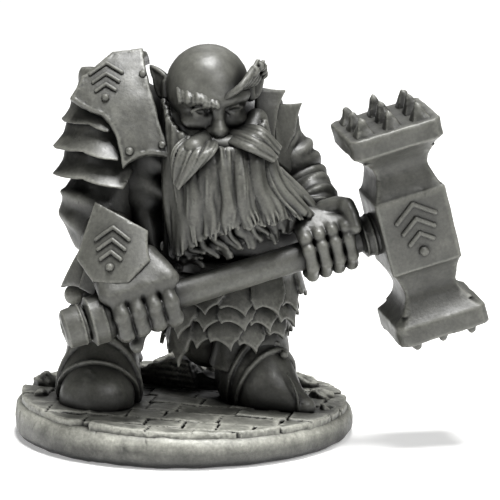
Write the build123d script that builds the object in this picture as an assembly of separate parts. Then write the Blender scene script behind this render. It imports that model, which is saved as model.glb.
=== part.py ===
from build123d import *
import math
import os
import random

os.makedirs("parts", exist_ok=True)

# A 28 mm scale dwarf with a two-handed hammer, cast in resin on a round cobbled base.
# Millimetres. +Z is up, -Y is the way the figure faces, +X is towards its left hand.
# The origin is the centre of the underside of the base.

# base
BASE_RADIUS = 12.5            # at the widest ring of the rounded rim
BASE_FOOT_RADIUS = 12.0
BASE_TOP_RADIUS = 11.9
PLINTH_HEIGHT = 2.0
STONE_RISE = 0.4
GROUND = PLINTH_HEIGHT + STONE_RISE
STONE_GAP = 0.16
PEG_RADIUS = 0.8
PEG_DEPTH = 1.2

# hammer: its frame has x along the haft, y into the depth and z along the head
HAFT_RADIUS = 1.03
HAFT_START = -25.4
HAFT_END = 3.6
HAMMER_CENTRE = (16.4, -4.4, 16.5)
HAFT_AXIS = (0.946, 0.193, 0.261)
HEAD_AXIS = (-0.241, -0.122, 0.963)
SLAB_HALF = 3.4               # striking slab, half its square side
SLAB_THICK = 1.4
NECK_HALF = 1.95
BLOCK_HALF = 2.65
HEAD_HALF_LENGTH = 7.95
RIGHT_GRIP = -20.4            # centre of each fist along the haft
LEFT_GRIP = -5.9

# figure
RIGHT_BOOT = (-6.1, -1.6, -6)      # middle x, y and the turn of the toe, degrees
LEFT_BOOT = (5.6, -1.4, 40)
ANKLE_RIGHT = (-6.0, -0.6, 6.0)
ANKLE_LEFT = (5.9, -0.8, 6.0)
SKIRT_CENTRE = (3.2, 0.2)
HEAD_CENTRE = (1.8, -3.5, 26.3)
HEAD_RADIUS = 3.05
HEAD_LOOK = (0.26, -0.91, -0.32)     # the way the face looks
HEAD_HEIGHT = 7.0                    # crown to chin; the heights below are up from the head's centre
EYE_LINE = HEAD_RADIUS - HEAD_HEIGHT / 2
NOSE_FOOT = HEAD_RADIUS - 0.75 * HEAD_HEIGHT
CHIN = HEAD_RADIUS - HEAD_HEIGHT
BROW_LINE = EYE_LINE + 0.2 * HEAD_RADIUS

# armour: each plate's frame is its middle and the way it looks
PLATE_THICK = 0.5
PLATE_CENTRE = (-3.4, -4.6, 24.9)
PLATE_OUTWARD = (0, -0.84, 0.54)
WING_CENTRE = (-5.2, -0.6, 27.6)
WING_OUTWARD = (-0.38, 0.12, 0.92)
VAMBRACE_CENTRE = (-4.6, -8.6, 15.6)
VAMBRACE_OUTWARD = (-0.12, -0.86, 0.50)
CUFF_CENTRE = (-7.4, -6.6, 13.5)
CUFF_OUTWARD = (-0.70, -0.66, 0.25)
LAME_COUNT = 4
LAME_AXIS_TOP = (-4.6, -1.6, 25.4)
LAME_AXIS_FOOT = (-5.3, -2.6, 17.0)
LEFT_FAN = ((6.5, -1.6, 24.0, 0.28), (7.7, -1.0, 23.0, 0.55), (8.0, -0.6, 21.8, 0.9))   # middle and lean

STUD_PITCH = 2.1
TOP_STUD = (1.35, 1.3)        # foot and height
BOTTOM_STUD = (1.1, 0.8)
SMALLEST_SOLID = 0.03         # mm3; anything smaller is a cutting crumb
GROUPS = ("paving_stones", "rear_rubble", "ears", "eyebrows", "shoulder_rivets", "striking_studs_top",
          "striking_studs_bottom", "hammer_emblem", "vambrace_emblem", "plate_emblem")


# ---- shared shapes ---------------------------------------------------------------------------

def blob(centre, radii, turn=(0, 0, 0)):
    """An ellipsoid."""
    return Location(centre, turn) * scale(Sphere(1), by=radii)


def section(centre, along, radii):
    """An elliptical section square to a direction, its wide side level."""
    along = Vector(*along).normalized()
    level = Vector(0, 0, 1).cross(along)
    if level.length < 0.2:
        level = Vector(1, 0, 0)
    frame = Plane(origin=centre, x_dir=level, z_dir=along)
    return frame * Ellipse(*radii) if radii[0] != radii[1] else frame * Circle(radii[0])


def limb(points, radii):
    """A limb lofted through sections at the points. Each radius may be a pair, wide and deep."""
    sections = []
    for i, point in enumerate(points):
        before = Vector(*points[max(i - 1, 0)])
        after = Vector(*points[min(i + 1, len(points) - 1)])
        pair = radii[i] if isinstance(radii[i], tuple) else (radii[i], radii[i])
        sections.append(section(point, tuple(after - before), pair))
    return loft(sections)


def slab(outline, thick, frame=Plane.XY):
    """A flat plate with a straight-sided outline, thickened to one side of its frame."""
    return extrude(frame * make_face(Polyline(*outline, close=True)), thick)


def facing(centre, outward, up=(0, 0, 1)):
    """A plane at a point, looking outward, with its y axis near up."""
    outward = Vector(*outward).normalized()
    side = Vector(*up).cross(outward)
    return Plane(origin=centre, x_dir=side, z_dir=outward)


def shell_arc(profile, arc_from, arc_size, frame):
    """A profile in (radius, height) turned part of the way round a frame's z axis."""
    face = Plane.XZ * make_face(Polyline(*profile, close=True))
    turned = revolve(face, Axis.Z, arc_size)
    return frame.location * (Rot(0, 0, arc_from) * turned)


def cluster(shapes):
    """Separate solids kept in one node."""
    return Compound(children=[solid for shape in shapes for solid in shape.solids()])


# ---- base ------------------------------------------------------------------------------------

def base_plinth():
    rim = Spline((BASE_FOOT_RADIUS, 0), (BASE_RADIUS, 1.0), (BASE_TOP_RADIUS, PLINTH_HEIGHT),
                 tangents=[(0.8, 0.6), (-1, 0.5)])
    edges = [rim,
             Line((BASE_TOP_RADIUS, PLINTH_HEIGHT), (0, PLINTH_HEIGHT)),
             Line((0, PLINTH_HEIGHT), (0, 0)),
             Line((0, 0), (BASE_FOOT_RADIUS, 0))]
    disc = revolve(Plane.XZ * make_face(edges), Axis.Z)
    for peg_x, peg_y in (RIGHT_BOOT[:2], LEFT_BOOT[:2]):
        socket = Cylinder(PEG_RADIUS, PEG_DEPTH, align=(Align.CENTER, Align.CENTER, Align.MAX))
        disc -= Pos(peg_x, peg_y, PLINTH_HEIGHT) * socket
    return disc


def paving_stones():
    """Staggered courses of cobbles with open joints, each stone a solid of its own."""
    dice = random.Random(4)
    field = Pos(0, 0, PLINTH_HEIGHT) * Cylinder(BASE_TOP_RADIUS - 0.7, 4)
    pegs = [Pos(x, y, PLINTH_HEIGHT) * Cylinder(PEG_RADIUS + 0.02, 2)
            for x, y in (RIGHT_BOOT[:2], LEFT_BOOT[:2])]
    stones = []
    course_y = -BASE_TOP_RADIUS
    while course_y < BASE_TOP_RADIUS:
        depth = dice.uniform(1.7, 2.2)
        x = -BASE_TOP_RADIUS - dice.uniform(0, 2)
        while x < BASE_TOP_RADIUS:
            width = dice.uniform(2.0, 3.4)
            rise = STONE_RISE - dice.uniform(0, 0.12)
            block = Box(width - STONE_GAP, depth - STONE_GAP, rise,
                        align=(Align.CENTER, Align.CENTER, Align.MIN))
            turned = Rot(0, 0, dice.uniform(-2, 2)) * block
            stones.append(Pos(x + width / 2, course_y + depth / 2, PLINTH_HEIGHT) * turned)
            x += width
        course_y += depth
    kept = []
    for stone in stones:
        stone = stone & field
        if stone is None or not stone.solids() or stone.volume < 0.15:
            continue
        for peg in pegs:
            stone = stone - peg
        kept.append(stone)
    return cluster(kept)


def rear_rubble():
    """Broken flagstones piled behind the feet: (x, y, half width, half depth, height, turn)."""
    slabs = ((-4.6, 8.4, 1.9, 1.4, 1.2, 12), (-0.6, 9.3, 1.7, 1.1, 1.5, -9), (3.1, 8.6, 1.6, 1.3, 1.0, 20),
             (-7.8, 6.2, 1.3, 1.5, 1.0, -24), (8.7, 4.2, 1.5, 1.3, 1.0, 30), (10.2, 0.8, 0.9, 1.2, 0.8, -12),
             (6.4, 7.2, 1.2, 1.1, 1.2, -30), (-10.0, 2.6, 1.0, 1.5, 0.9, 8))
    rocks = []
    for x, y, half_x, half_y, height, turn in slabs:
        corners = ((-half_x, -0.6 * half_y), (-0.3 * half_x, -half_y), (half_x, -0.7 * half_y),
                   (0.9 * half_x, 0.5 * half_y), (0.2 * half_x, half_y), (-0.8 * half_x, 0.8 * half_y))
        rocks.append(Pos(x, y, GROUND) * Rot(0, 0, turn) * extrude(
            make_face(Polyline(*corners, close=True)), height, taper=14))
    return cluster(rocks + [rock_ledge()])


def rock_ledge():
    """Layers of split rock between the heels, each set back from the one below."""
    layers = []
    for i in range(4):
        half_x = 3.1 - 0.35 * i
        half_y = 1.9 - 0.3 * i
        corners = ((-half_x, -0.3 * half_y), (-0.5 * half_x, -half_y), (0.4 * half_x, -0.9 * half_y),
                   (half_x, -0.4 * half_y), (0.8 * half_x, 0.7 * half_y), (-0.6 * half_x, half_y))
        layers.append(Pos(-0.6 + 0.15 * i, 4.0 + 0.3 * i, GROUND + 0.5 * i) * extrude(
            make_face(Polyline(*corners, close=True)), 0.5, taper=8))
    ledge = layers[0]
    for layer in layers[1:]:
        ledge = ledge + layer
    return ledge


# ---- boots and legs --------------------------------------------------------------------------

def boot(place):
    """A broad round-toed boot, standing on the stones, with a peg into the base."""
    x, y, turn = place
    stations = ((-4.7, 0.9, 0.9), (-4.2, 1.7, 1.7), (-2.8, 2.5, 3.0), (-0.8, 2.6, 4.1), (1.2, 2.3, 4.2),
                (3.0, 1.8, 3.6), (4.0, 1.0, 2.6))
    sections = []
    for forward, half_width, height in stations:
        arch = Spline((half_width, 0), (half_width * 0.86, height * 0.62), (0, height),
                      (-half_width * 0.86, height * 0.62), (-half_width, 0))
        sections.append(Plane(origin=(0, forward, 0), x_dir=(1, 0, 0), z_dir=(0, -1, 0))
                        * make_face([arch, Line((-half_width, 0), (half_width, 0))]))
    upper = loft(sections)
    peg = Cylinder(PEG_RADIUS - 0.03, PEG_DEPTH + STONE_RISE - 0.1,
                   align=(Align.CENTER, Align.CENTER, Align.MAX))
    return Pos(x, y, GROUND) * Rot(0, 0, turn) * (upper + peg)


def greave(place, height):
    """The armoured collar that wraps the ankle above a boot, flared at its lower edge."""
    x, y, turn = place
    profile = ((2.3, 0), (2.9, -0.9), (3.2, -0.8), (2.8, 0.2), (2.6, 2.2), (2.1, 2.2))
    ring = shell_arc(profile, 0, 360, Plane(origin=(0, 0, 0)))
    return Pos(x, y + 0.4, height) * Rot(16, 0, turn) * scale(ring, by=(1, 1.12, 1))


def leg(foot, knee, hip):
    return limb((foot, knee, hip), (1.9, 2.0, 2.2))


# ---- skirt and trunk -------------------------------------------------------------------------

def skirt_row(top_z, bottom_z, top_radius, bottom_radius, tips, first_angle, notch):
    """A conical row of the scale skirt, its hem cut into hanging tips."""
    thick = PLATE_THICK
    profile = ((top_radius - thick, top_z), (top_radius, top_z),
               (bottom_radius, bottom_z), (bottom_radius - thick, bottom_z))
    row = shell_arc(profile, 0, 360, Plane(origin=(SKIRT_CENTRE[0], SKIRT_CENTRE[1], 0)))
    pitch = 360 / tips
    width = 2 * bottom_radius * math.sin(math.radians(pitch / 2))
    for i in range(tips):
        rise = notch * (0.75 + 0.5 * ((i * 7) % 5) / 5)
        wedge = slab(((-width * 0.46, -1), (width * 0.46, -1), (width * 0.46, 0), (0, rise),
                      (-width * 0.46, 0)), 3.2, Plane(origin=(0, 0, 0), x_dir=(0, 1, 0), z_dir=(1, 0, 0)))
        turned = Rot(0, 0, first_angle + pitch * i) * Pos(bottom_radius - 1.8, 0, bottom_z) * wedge
        row -= Pos(SKIRT_CENTRE[0], SKIRT_CENTRE[1], 0) * turned
    return row


def hip_dagger():
    """The hilt of a dagger worn behind the right hip."""
    grip = limb(((-7.9, -2.6, 11.0), (-6.4, 0.6, 11.9), (-4.6, 3.0, 12.8)), (0.5, 0.45, 0.4))
    knob = Pos(-8.0, -3.0, 10.9) * Sphere(0.75)
    guard = Pos(-4.4, 3.2, 12.9) * Box(0.8, 0.8, 2.0)
    return grip + knob + guard


def belt():
    profile = ((4.1, 12.4), (4.75, 12.5), (4.75, 13.5), (4.1, 13.6))
    return shell_arc(profile, 0, 360, Plane(origin=(SKIRT_CENTRE[0] - 0.2, SKIRT_CENTRE[1], 0)))


def torso():
    stations = ((10.8, 3.2, 0.2, 3.6, 3.2), (13.0, 3.0, 0.1, 4.1, 3.8), (16.5, 2.6, 0.0, 4.7, 4.2),
                (20.5, 1.9, 0.3, 5.4, 3.9), (23.6, 1.2, 0.6, 4.6, 3.2), (25.0, 1.2, 0.6, 3.0, 2.2))
    sections = [Plane(origin=(x, y, z)) * Ellipse(half_x, half_y) for z, x, y, half_x, half_y in stations]
    return loft(sections)


def under_robe():
    """The cloth that hangs inside the skirt, between the legs."""
    return limb(((3.0, 0.6, 11.0), (2.5, 0.8, 8.6), (1.9, 1.0, 6.0)), ((3.2, 2.6), (3.1, 2.3), (2.6, 1.9)))


def backplate():
    """The armour over the back, standing off the trunk behind."""
    outer = blob((1.5, 1.2, 19.6), (5.9, 4.2, 6.2))
    inner = blob((1.5, 1.0, 19.6), (5.4, 3.7, 5.7))
    back = Pos(1.5, 6.6, 19.6) * Box(14, 8, 14)
    return (outer - inner) & back


def gorget():
    """The raised collar behind the neck."""
    profile = ((2.9, 0), (3.9, 0), (4.4, 1.9), (3.9, 2.0))
    return shell_arc(profile, 5, 170, Plane(origin=(1.5, -0.7, 23.6), z_dir=(0.0, 0.15, 1)))


# ---- head ------------------------------------------------------------------------------------

def head():
    """A skull with a plain face: eyes half way down it and the foot of the nose three quarters down."""
    front = HEAD_RADIUS
    skull = Sphere(HEAD_RADIUS)
    jaw_radius = 0.65 * HEAD_RADIUS
    jaw = Pos(0, CHIN + jaw_radius, 0.45 * HEAD_RADIUS) * Sphere(jaw_radius)
    bridge = Pos(0, EYE_LINE - 0.3, 1.02 * front) * Sphere(0.65)
    nose = Pos(0, NOSE_FOOT + 0.6, 1.1 * front) * Sphere(0.85)
    face = facing(HEAD_CENTRE, HEAD_LOOK).location * (skull + jaw + bridge + nose)
    neck = Pos(1.5, -1.0, 23.2) * Cylinder(1.9, 3.0)
    return face + neck


def ears():
    """Pointed ears, standing out from the sides of the head."""
    leaf = ((0, -1.2), (0.7, -0.9), (1.0, 0.2), (1.25, 1.5), (0.1, 0.8))
    left = slab(leaf, 0.55, Plane(origin=(4.55, -2.6, 26.0), x_dir=(1, 0, 0), z_dir=(0, -1, 0)))
    right = mirror(left, Plane.YZ.offset(HEAD_CENTRE[0]))
    return cluster([left, right])


def eyebrows():
    """Two bushy brows, each a wedge of hair that starts over the nose."""
    right = limb(((-0.3, BROW_LINE + 0.3, 3.1), (-1.4, BROW_LINE + 0.8, 2.9), (-2.7, BROW_LINE + 1.1, 1.9)),
                 (0.45, 0.7, 0.35))
    left = limb(((0.4, BROW_LINE + 0.3, 3.1), (1.6, BROW_LINE + 1.1, 2.8), (2.9, BROW_LINE + 2.2, 1.5)),
                (0.45, 0.7, 0.5))
    face = facing(HEAD_CENTRE, HEAD_LOOK)
    return cluster([face.location * right, face.location * left])


def moustache(side):
    """side is 1 for the figure's right, -1 for its left."""
    if side > 0:
        return limb(((2.9, -7.5, 23.8), (1.7, -7.8, 22.6), (0.5, -7.8, 21.2), (-0.4, -7.6, 20.0)),
                    (0.5, 1.1, 1.0, 0.25))
    return limb(((3.7, -7.4, 23.7), (4.6, -7.4, 23.0), (5.7, -7.0, 22.3), (6.7, -6.6, 21.9)),
                (0.5, 0.9, 0.8, 0.3))


def beard():
    """The long curtain of beard, widest at its square-cut lower end."""
    stations = ((24.4, 2.4, -5.0, 3.4, 1.2), (22.2, 2.7, -5.6, 3.7, 1.5), (19.6, 3.3, -6.0, 4.2, 1.4),
                (17.4, 4.2, -6.1, 5.0, 1.2), (15.6, 4.2, -6.1, 4.6, 0.9))
    sections = [Plane(origin=(x, y, z)) * Ellipse(half_x, half_y) for z, x, y, half_x, half_y in stations]
    return loft(sections)


def beard_underlayer():
    stations = ((20.0, 2.9, -4.4, 3.8, 1.0), (16.5, 3.4, -4.7, 4.2, 1.0), (14.2, 3.2, -4.9, 3.8, 0.7))
    sections = [Plane(origin=(x, y, z)) * Ellipse(half_x, half_y) for z, x, y, half_x, half_y in stations]
    return loft(sections)


# ---- shoulder armour -------------------------------------------------------------------------

def right_shoulder_plate():
    """The big plate over the right shoulder, bent along a line from collar to chest."""
    chest = slab(((-3.7, 2.4), (0.5, 4.7), (2.6, -3.7), (-0.7, -4.2), (-1.6, -1.2), (-2.9, 0.4)),
                 PLATE_THICK, facing(PLATE_CENTRE, PLATE_OUTWARD))
    wing = slab(((-1.9, -2.0), (2.2, -1.2), (1.9, 2.0), (-1.2, 1.7)), PLATE_THICK,
                facing(WING_CENTRE, WING_OUTWARD))
    return chest + wing


def right_lame(index):
    """One of the overlapping flared bands down the right upper arm, counted from the top."""
    share = (index + 0.5) / LAME_COUNT
    top = Vector(*LAME_AXIS_TOP)
    foot = Vector(*LAME_AXIS_FOOT)
    spot = top + (foot - top) * share
    profile = ((2.6, 0.8), (3.0, 1.0), (3.5, 0.0), (4.3, -0.9), (4.1, -1.15), (3.1, -0.3))
    frame = Plane(origin=tuple(spot), x_dir=(1, 0, 0), z_dir=tuple(top - foot))
    return shell_arc(profile, 60, 235, frame)


def left_lame(index):
    """One of the fan of pointed plates on the left shoulder, counted from the neck."""
    x, y, z, lean = LEFT_FAN[index]
    outline = ((-1.6, 2.2), (1.8, 1.5), (0.6, -2.6), (-1.0, -1.2))
    return slab(outline, PLATE_THICK, facing((x, y, z), (lean, -0.9, 0.35)))


def shoulder_rivets():
    """Domed rivet heads along the edge of the right shoulder plate."""
    frame = facing(PLATE_CENTRE, PLATE_OUTWARD)
    spots = ((0.2, 3.6), (1.9, -2.6), (-0.3, -3.3))
    dome = Sphere(0.28)
    return cluster([frame.location * Pos(x, y, PLATE_THICK + 0.1) * dome for x, y in spots])


# ---- arms ------------------------------------------------------------------------------------

def right_sleeve():
    return limb(((-3.4, -0.6, 24.0), (-4.8, -1.6, 21.0), (-5.6, -2.4, 17.6), (-5.6, -3.6, 15.4)),
                (2.3, 2.5, 2.5, 2.0))


def right_forearm():
    return limb(((-5.5, -4.0, 15.6), (-4.9, -6.2, 14.6), (-4.2, -7.6, 13.4)), (1.8, 1.9, 1.4))


def right_vambrace():
    """The five-sided plate strapped over the right forearm."""
    outline = ((-2.6, 2.6), (2.0, 1.6), (2.4, -0.6), (0.9, -2.6), (-1.9, -2.8), (-3.1, -1.2))
    return slab(outline, PLATE_THICK, facing(VAMBRACE_CENTRE, VAMBRACE_OUTWARD))


def right_cuff_flare():
    """The wing of the gauntlet's cuff, flaring out behind the vambrace."""
    return slab(((-1.5, -1.7), (0.9, -1.3), (1.2, 1.6), (-0.2, 2.0)), PLATE_THICK,
                facing(CUFF_CENTRE, CUFF_OUTWARD))


def hammer_frame(along):
    """The hammer's frame, moved along the haft."""
    frame = Plane(origin=HAMMER_CENTRE, x_dir=HAFT_AXIS, z_dir=HEAD_AXIS)
    return frame.location * Pos(along, 0, 0)


def fist(grip, finger_radius, spread, palm_radii):
    """Four fingers wrapped over the front of the haft, a palm behind it and a thumb below."""
    around_haft = Rot(0, 90, 0)
    reach = HAFT_RADIUS + finger_radius
    solids = []
    for i in range(4):
        ring = Torus(reach, finger_radius, major_angle=235)
        solids.append(Pos((i - 1.5) * spread, 0, 0) * Rot(-62, 0, 0) * around_haft * ring)
    palm = Pos(0, 1.35, 0.75) * scale(Sphere(1), by=palm_radii)
    thumb = Pos(spread * 1.4, 0.4, -1.75) * Rot(0, 78, 0) * Cylinder(finger_radius * 0.95, spread * 2.2)
    hand = palm + thumb
    for finger in solids:
        hand = hand + finger
    return hammer_frame(grip) * hand


def left_sleeve_upper():
    return limb(((5.2, 0.4, 23.4), (7.0, 0.4, 21.2), (8.2, 0.4, 19.2)), (2.4, 2.2, 1.7))


def left_sleeve_cuff():
    cuff = Torus(1.55, 0.55)
    frame = Plane(origin=(8.4, 0.2, 18.9), z_dir=(0.45, -0.35, -0.8))
    return frame.location * cuff


def left_forearm():
    return limb(((8.5, 0.1, 18.8), (9.7, -1.6, 17.4), (10.3, -3.4, 16.2)), (1.5, 1.75, 1.3))


# ---- hammer ----------------------------------------------------------------------------------

def head_outline():
    """Half of the head's side view: slab, hollow flare, neck, hollow shoulder and block."""
    top = HEAD_HALF_LENGTH
    slab_foot = top - SLAB_THICK
    neck = slab_foot - 2.1
    shoulder = neck - 1.7
    right = [Line((SLAB_HALF, top), (SLAB_HALF, slab_foot)),
             ThreePointArc((SLAB_HALF, slab_foot), (NECK_HALF + 0.42, neck + 0.85), (NECK_HALF, neck)),
             ThreePointArc((NECK_HALF, neck), (NECK_HALF + 0.18, shoulder + 0.62), (BLOCK_HALF, shoulder)),
             Line((BLOCK_HALF, shoulder), (BLOCK_HALF, 0))]
    lower = [mirror(edge, Plane.XZ) for edge in right]
    left = [mirror(edge, Plane.YZ) for edge in right + lower]
    ends = [Line((-SLAB_HALF, top), (SLAB_HALF, top)), Line((-SLAB_HALF, -top), (SLAB_HALF, -top))]
    return make_face(right + lower + left + ends)


def hammer_head():
    """A square-section head, the same outline from the front and from the side."""
    width = 4 * SLAB_HALF
    front = extrude(Plane.XZ * head_outline(), width / 2, both=True)
    side = extrude(Plane.YZ * head_outline(), width / 2, both=True)
    bore = Rot(0, 90, 0) * Cylinder(HAFT_RADIUS, 4 * BLOCK_HALF)
    return hammer_frame(0) * ((front & side) - bore)


def striking_studs(side, base, height):
    """Nine pyramids on one striking face; side is 1 on top and -1 below."""
    studs = []
    foot = Rectangle(base, base)
    tip = Rectangle(0.12, 0.12)
    for column in (-1, 0, 1):
        for row in (-1, 0, 1):
            stud = loft([foot, Pos(0, 0, height) * tip])
            upright = stud if side > 0 else Rot(180, 0, 0) * stud
            spot = Pos(column * STUD_PITCH, row * STUD_PITCH, side * HEAD_HALF_LENGTH)
            studs.append(hammer_frame(0) * spot * upright)
    return cluster(studs)


def haft():
    length = HAFT_END - HAFT_START
    middle = (HAFT_END + HAFT_START) / 2
    return hammer_frame(middle) * Rot(0, 90, 0) * Cylinder(HAFT_RADIUS, length)


def haft_ring(along, profile):
    """A turned fitting on the haft; the profile is (radius, distance along the haft)."""
    ring = shell_arc(profile, 0, 360, Plane.XY)
    return hammer_frame(along) * Rot(0, 90, 0) * ring


def chevrons(count, width, rise, bar, thick):
    """Nested chevrons over a round stud: a plain mark for the armour and the hammer."""
    bars = []
    for i in range(count):
        half = width / 2 * (1 - 0.22 * i)
        low = -i * rise
        bars.append(slab(((-half, low), (0, low + half * 0.8), (half, low), (half, low - bar),
                          (0, low + half * 0.8 - bar), (-half, low - bar)), thick))
    stud = Pos(0, -count * rise, thick / 2) * Cylinder(bar, thick)
    return cluster(bars + [stud])


def build_pieces():
    """Every piece, in the order in which a shared space is given out."""
    pieces = {}
    pieces["base_plinth"] = base_plinth()
    pieces["paving_stones"] = paving_stones()
    pieces["haft"] = haft()
    pieces["hammer_head"] = hammer_head()
    pieces["striking_studs_top"] = striking_studs(1, *TOP_STUD)
    pieces["striking_studs_bottom"] = striking_studs(-1, *BOTTOM_STUD)
    pieces["pommel"] = haft_ring(HAFT_START, ((0, -0.9), (0.6, -0.85), (1.15, -0.5), (1.4, 0),
                                              (1.4, 0.9), (1.1, 1.0), (0, 1.0)))
    pieces["haft_collar_rear"] = haft_ring(HAFT_START + 1.8, ((HAFT_RADIUS, 0), (1.55, 0), (1.7, 0.3),
                                                            (1.7, 0.8), (1.45, 1.1), (HAFT_RADIUS, 1.1)))
    pieces["haft_collar_front"] = haft_ring(-BLOCK_HALF - 0.95, ((HAFT_RADIUS, 0), (1.25, 0), (1.25, 0.45),
                                                               (1.5, 0.5), (1.5, 0.95), (HAFT_RADIUS, 0.95)))
    pieces["haft_end_cap"] = haft_ring(BLOCK_HALF, ((0, 0.95), (HAFT_RADIUS, 0.95), (HAFT_RADIUS, 0),
                                                  (1.25, 0), (1.2, 1.1), (0.9, 1.45), (0, 1.5)))
    emblem = Plane(origin=(0, -BLOCK_HALF, 0.6), x_dir=(1, 0, 0), z_dir=(0, -1, 0))
    pieces["hammer_emblem"] = hammer_frame(0) * emblem.location * chevrons(3, 3.4, 0.85, 0.42, 0.4)
    plate = facing(VAMBRACE_CENTRE, VAMBRACE_OUTWARD)
    mark = chevrons(3, 2.6, 0.7, 0.32, 0.3)
    pieces["vambrace_emblem"] = plate.location * Pos(-0.3, 0.1, PLATE_THICK) * mark
    plate = facing(PLATE_CENTRE, PLATE_OUTWARD)
    mark = chevrons(2, 2.2, 0.6, 0.3, 0.3)
    pieces["plate_emblem"] = plate.location * Pos(-1.9, 1.5, PLATE_THICK) * mark
    pieces["right_hand"] = fist(RIGHT_GRIP, 0.66, 1.28, (2.5, 1.5, 1.7))
    pieces["left_hand"] = fist(LEFT_GRIP, 0.6, 1.14, (2.2, 1.4, 1.6))
    pieces["shoulder_rivets"] = shoulder_rivets()
    pieces["right_shoulder_plate"] = right_shoulder_plate()
    for i in range(4):
        pieces[f"right_lame_{i + 1}"] = right_lame(i)
    for i in range(3):
        pieces[f"left_lame_{i + 1}"] = left_lame(i)
    pieces["right_vambrace"] = right_vambrace()
    pieces["right_cuff_flare"] = right_cuff_flare()
    pieces["moustache_right"] = moustache(1)
    pieces["moustache_left"] = moustache(-1)
    pieces["eyebrows"] = eyebrows()
    pieces["head"] = head()
    pieces["ears"] = ears()
    pieces["beard"] = beard()
    pieces["beard_underlayer"] = beard_underlayer()
    pieces["left_sleeve_cuff"] = left_sleeve_cuff()
    pieces["left_forearm"] = left_forearm()
    pieces["left_sleeve_upper"] = left_sleeve_upper()
    pieces["right_forearm"] = right_forearm()
    pieces["right_sleeve"] = right_sleeve()
    pieces["gorget"] = gorget()
    pieces["belt"] = belt()
    pieces["skirt_row_upper"] = skirt_row(12.4, 9.6, 4.3, 5.2, 11, 8, 1.3)
    pieces["skirt_row_middle"] = skirt_row(10.8, 7.9, 4.0, 4.8, 10, -6, 1.5)
    pieces["skirt_row_lower"] = skirt_row(9.2, 5.7, 3.5, 4.3, 9, 16, 1.9)
    pieces["backplate"] = backplate()
    pieces["torso"] = torso()
    pieces["right_boot"] = boot(RIGHT_BOOT)
    pieces["left_boot"] = boot(LEFT_BOOT)
    pieces["right_greave"] = greave(RIGHT_BOOT, 5.6)
    pieces["left_greave"] = greave(LEFT_BOOT, 5.4)
    pieces["right_leg"] = leg(ANKLE_RIGHT, (-5.7, -0.8, 9.4), (-1.2, 0.5, 12.9))
    pieces["left_leg"] = leg(ANKLE_LEFT, (5.2, -0.4, 8.6), (4.4, 0.4, 12.0))
    pieces["under_robe"] = under_robe()
    pieces["hip_dagger"] = hip_dagger()
    pieces["rear_rubble"] = rear_rubble()
    return pieces


def boxes_meet(one, two):
    a = one.bounding_box()
    b = two.bounding_box()
    return all(low < high for low, high in (
        (a.min.X, b.max.X), (b.min.X, a.max.X), (a.min.Y, b.max.Y),
        (b.min.Y, a.max.Y), (a.min.Z, b.max.Z), (b.min.Z, a.max.Z)))


def seat(pieces):
    """Cut each piece clear of those before it, so that no two solids share any space."""
    seated = {}
    for name, shape in pieces.items():
        solids = shape.solids()
        for other in seated.values():
            if not boxes_meet(shape, other):
                continue
            cut = []
            for solid in solids:
                if boxes_meet(solid, other):
                    rest = solid - other
                    cut += [] if rest is None else rest.solids()
                else:
                    cut.append(solid)
            solids = cut
        solids = sorted((solid for solid in solids if solid.volume > SMALLEST_SOLID),
                        key=lambda solid: -solid.volume)
        seated[name] = Compound(children=solids if name in GROUPS else solids[:1])
    return seated


for node, piece in seat(build_pieces()).items():
    export_step(piece, f"parts/{node}.step")
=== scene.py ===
import math
import random

import bpy
import numpy as np
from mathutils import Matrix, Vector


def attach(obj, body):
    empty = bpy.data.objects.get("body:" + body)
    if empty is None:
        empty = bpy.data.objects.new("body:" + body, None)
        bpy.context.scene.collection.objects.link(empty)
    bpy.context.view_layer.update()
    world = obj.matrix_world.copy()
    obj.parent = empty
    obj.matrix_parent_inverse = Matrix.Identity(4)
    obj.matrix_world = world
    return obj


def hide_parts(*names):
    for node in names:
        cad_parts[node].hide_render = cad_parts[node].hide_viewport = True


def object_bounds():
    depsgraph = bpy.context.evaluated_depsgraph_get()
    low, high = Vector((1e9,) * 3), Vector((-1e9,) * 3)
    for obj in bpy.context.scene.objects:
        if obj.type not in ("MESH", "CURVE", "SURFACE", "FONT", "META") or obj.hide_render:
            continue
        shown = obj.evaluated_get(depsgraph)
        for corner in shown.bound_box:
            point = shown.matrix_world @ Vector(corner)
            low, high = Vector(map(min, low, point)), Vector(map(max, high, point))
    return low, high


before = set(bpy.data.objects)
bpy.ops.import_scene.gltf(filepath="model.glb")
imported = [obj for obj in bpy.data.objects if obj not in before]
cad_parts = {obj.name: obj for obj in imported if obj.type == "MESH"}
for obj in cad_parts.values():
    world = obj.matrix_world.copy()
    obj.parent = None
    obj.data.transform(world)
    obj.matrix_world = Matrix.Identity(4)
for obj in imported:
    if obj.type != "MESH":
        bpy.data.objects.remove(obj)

import openvdb
from mathutils import Vector

# An unpainted casting of a dwarf warrior. Shapes are sculpted in millimetres, in the frame's
# own axes, and become meshes in metres. +Z is up, -Y the way the figure faces.

MM = 0.001
CELL = 0.11                  # size of a sculpting cell
FAR = 9.0                    # distance given to empty cells
THRIFT = 0.12                # how far flat stretches of a surface are simplified, from 0 to 1
CAD_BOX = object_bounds()


# ---- sculpting -------------------------------------------------------------------------------

class Form:
    """A solid given by its signed distance, negative inside, and a box that holds it."""

    def __init__(self, distance, low, high):
        self.distance = distance
        self.low = np.array(low, float)
        self.high = np.array(high, float)


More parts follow.
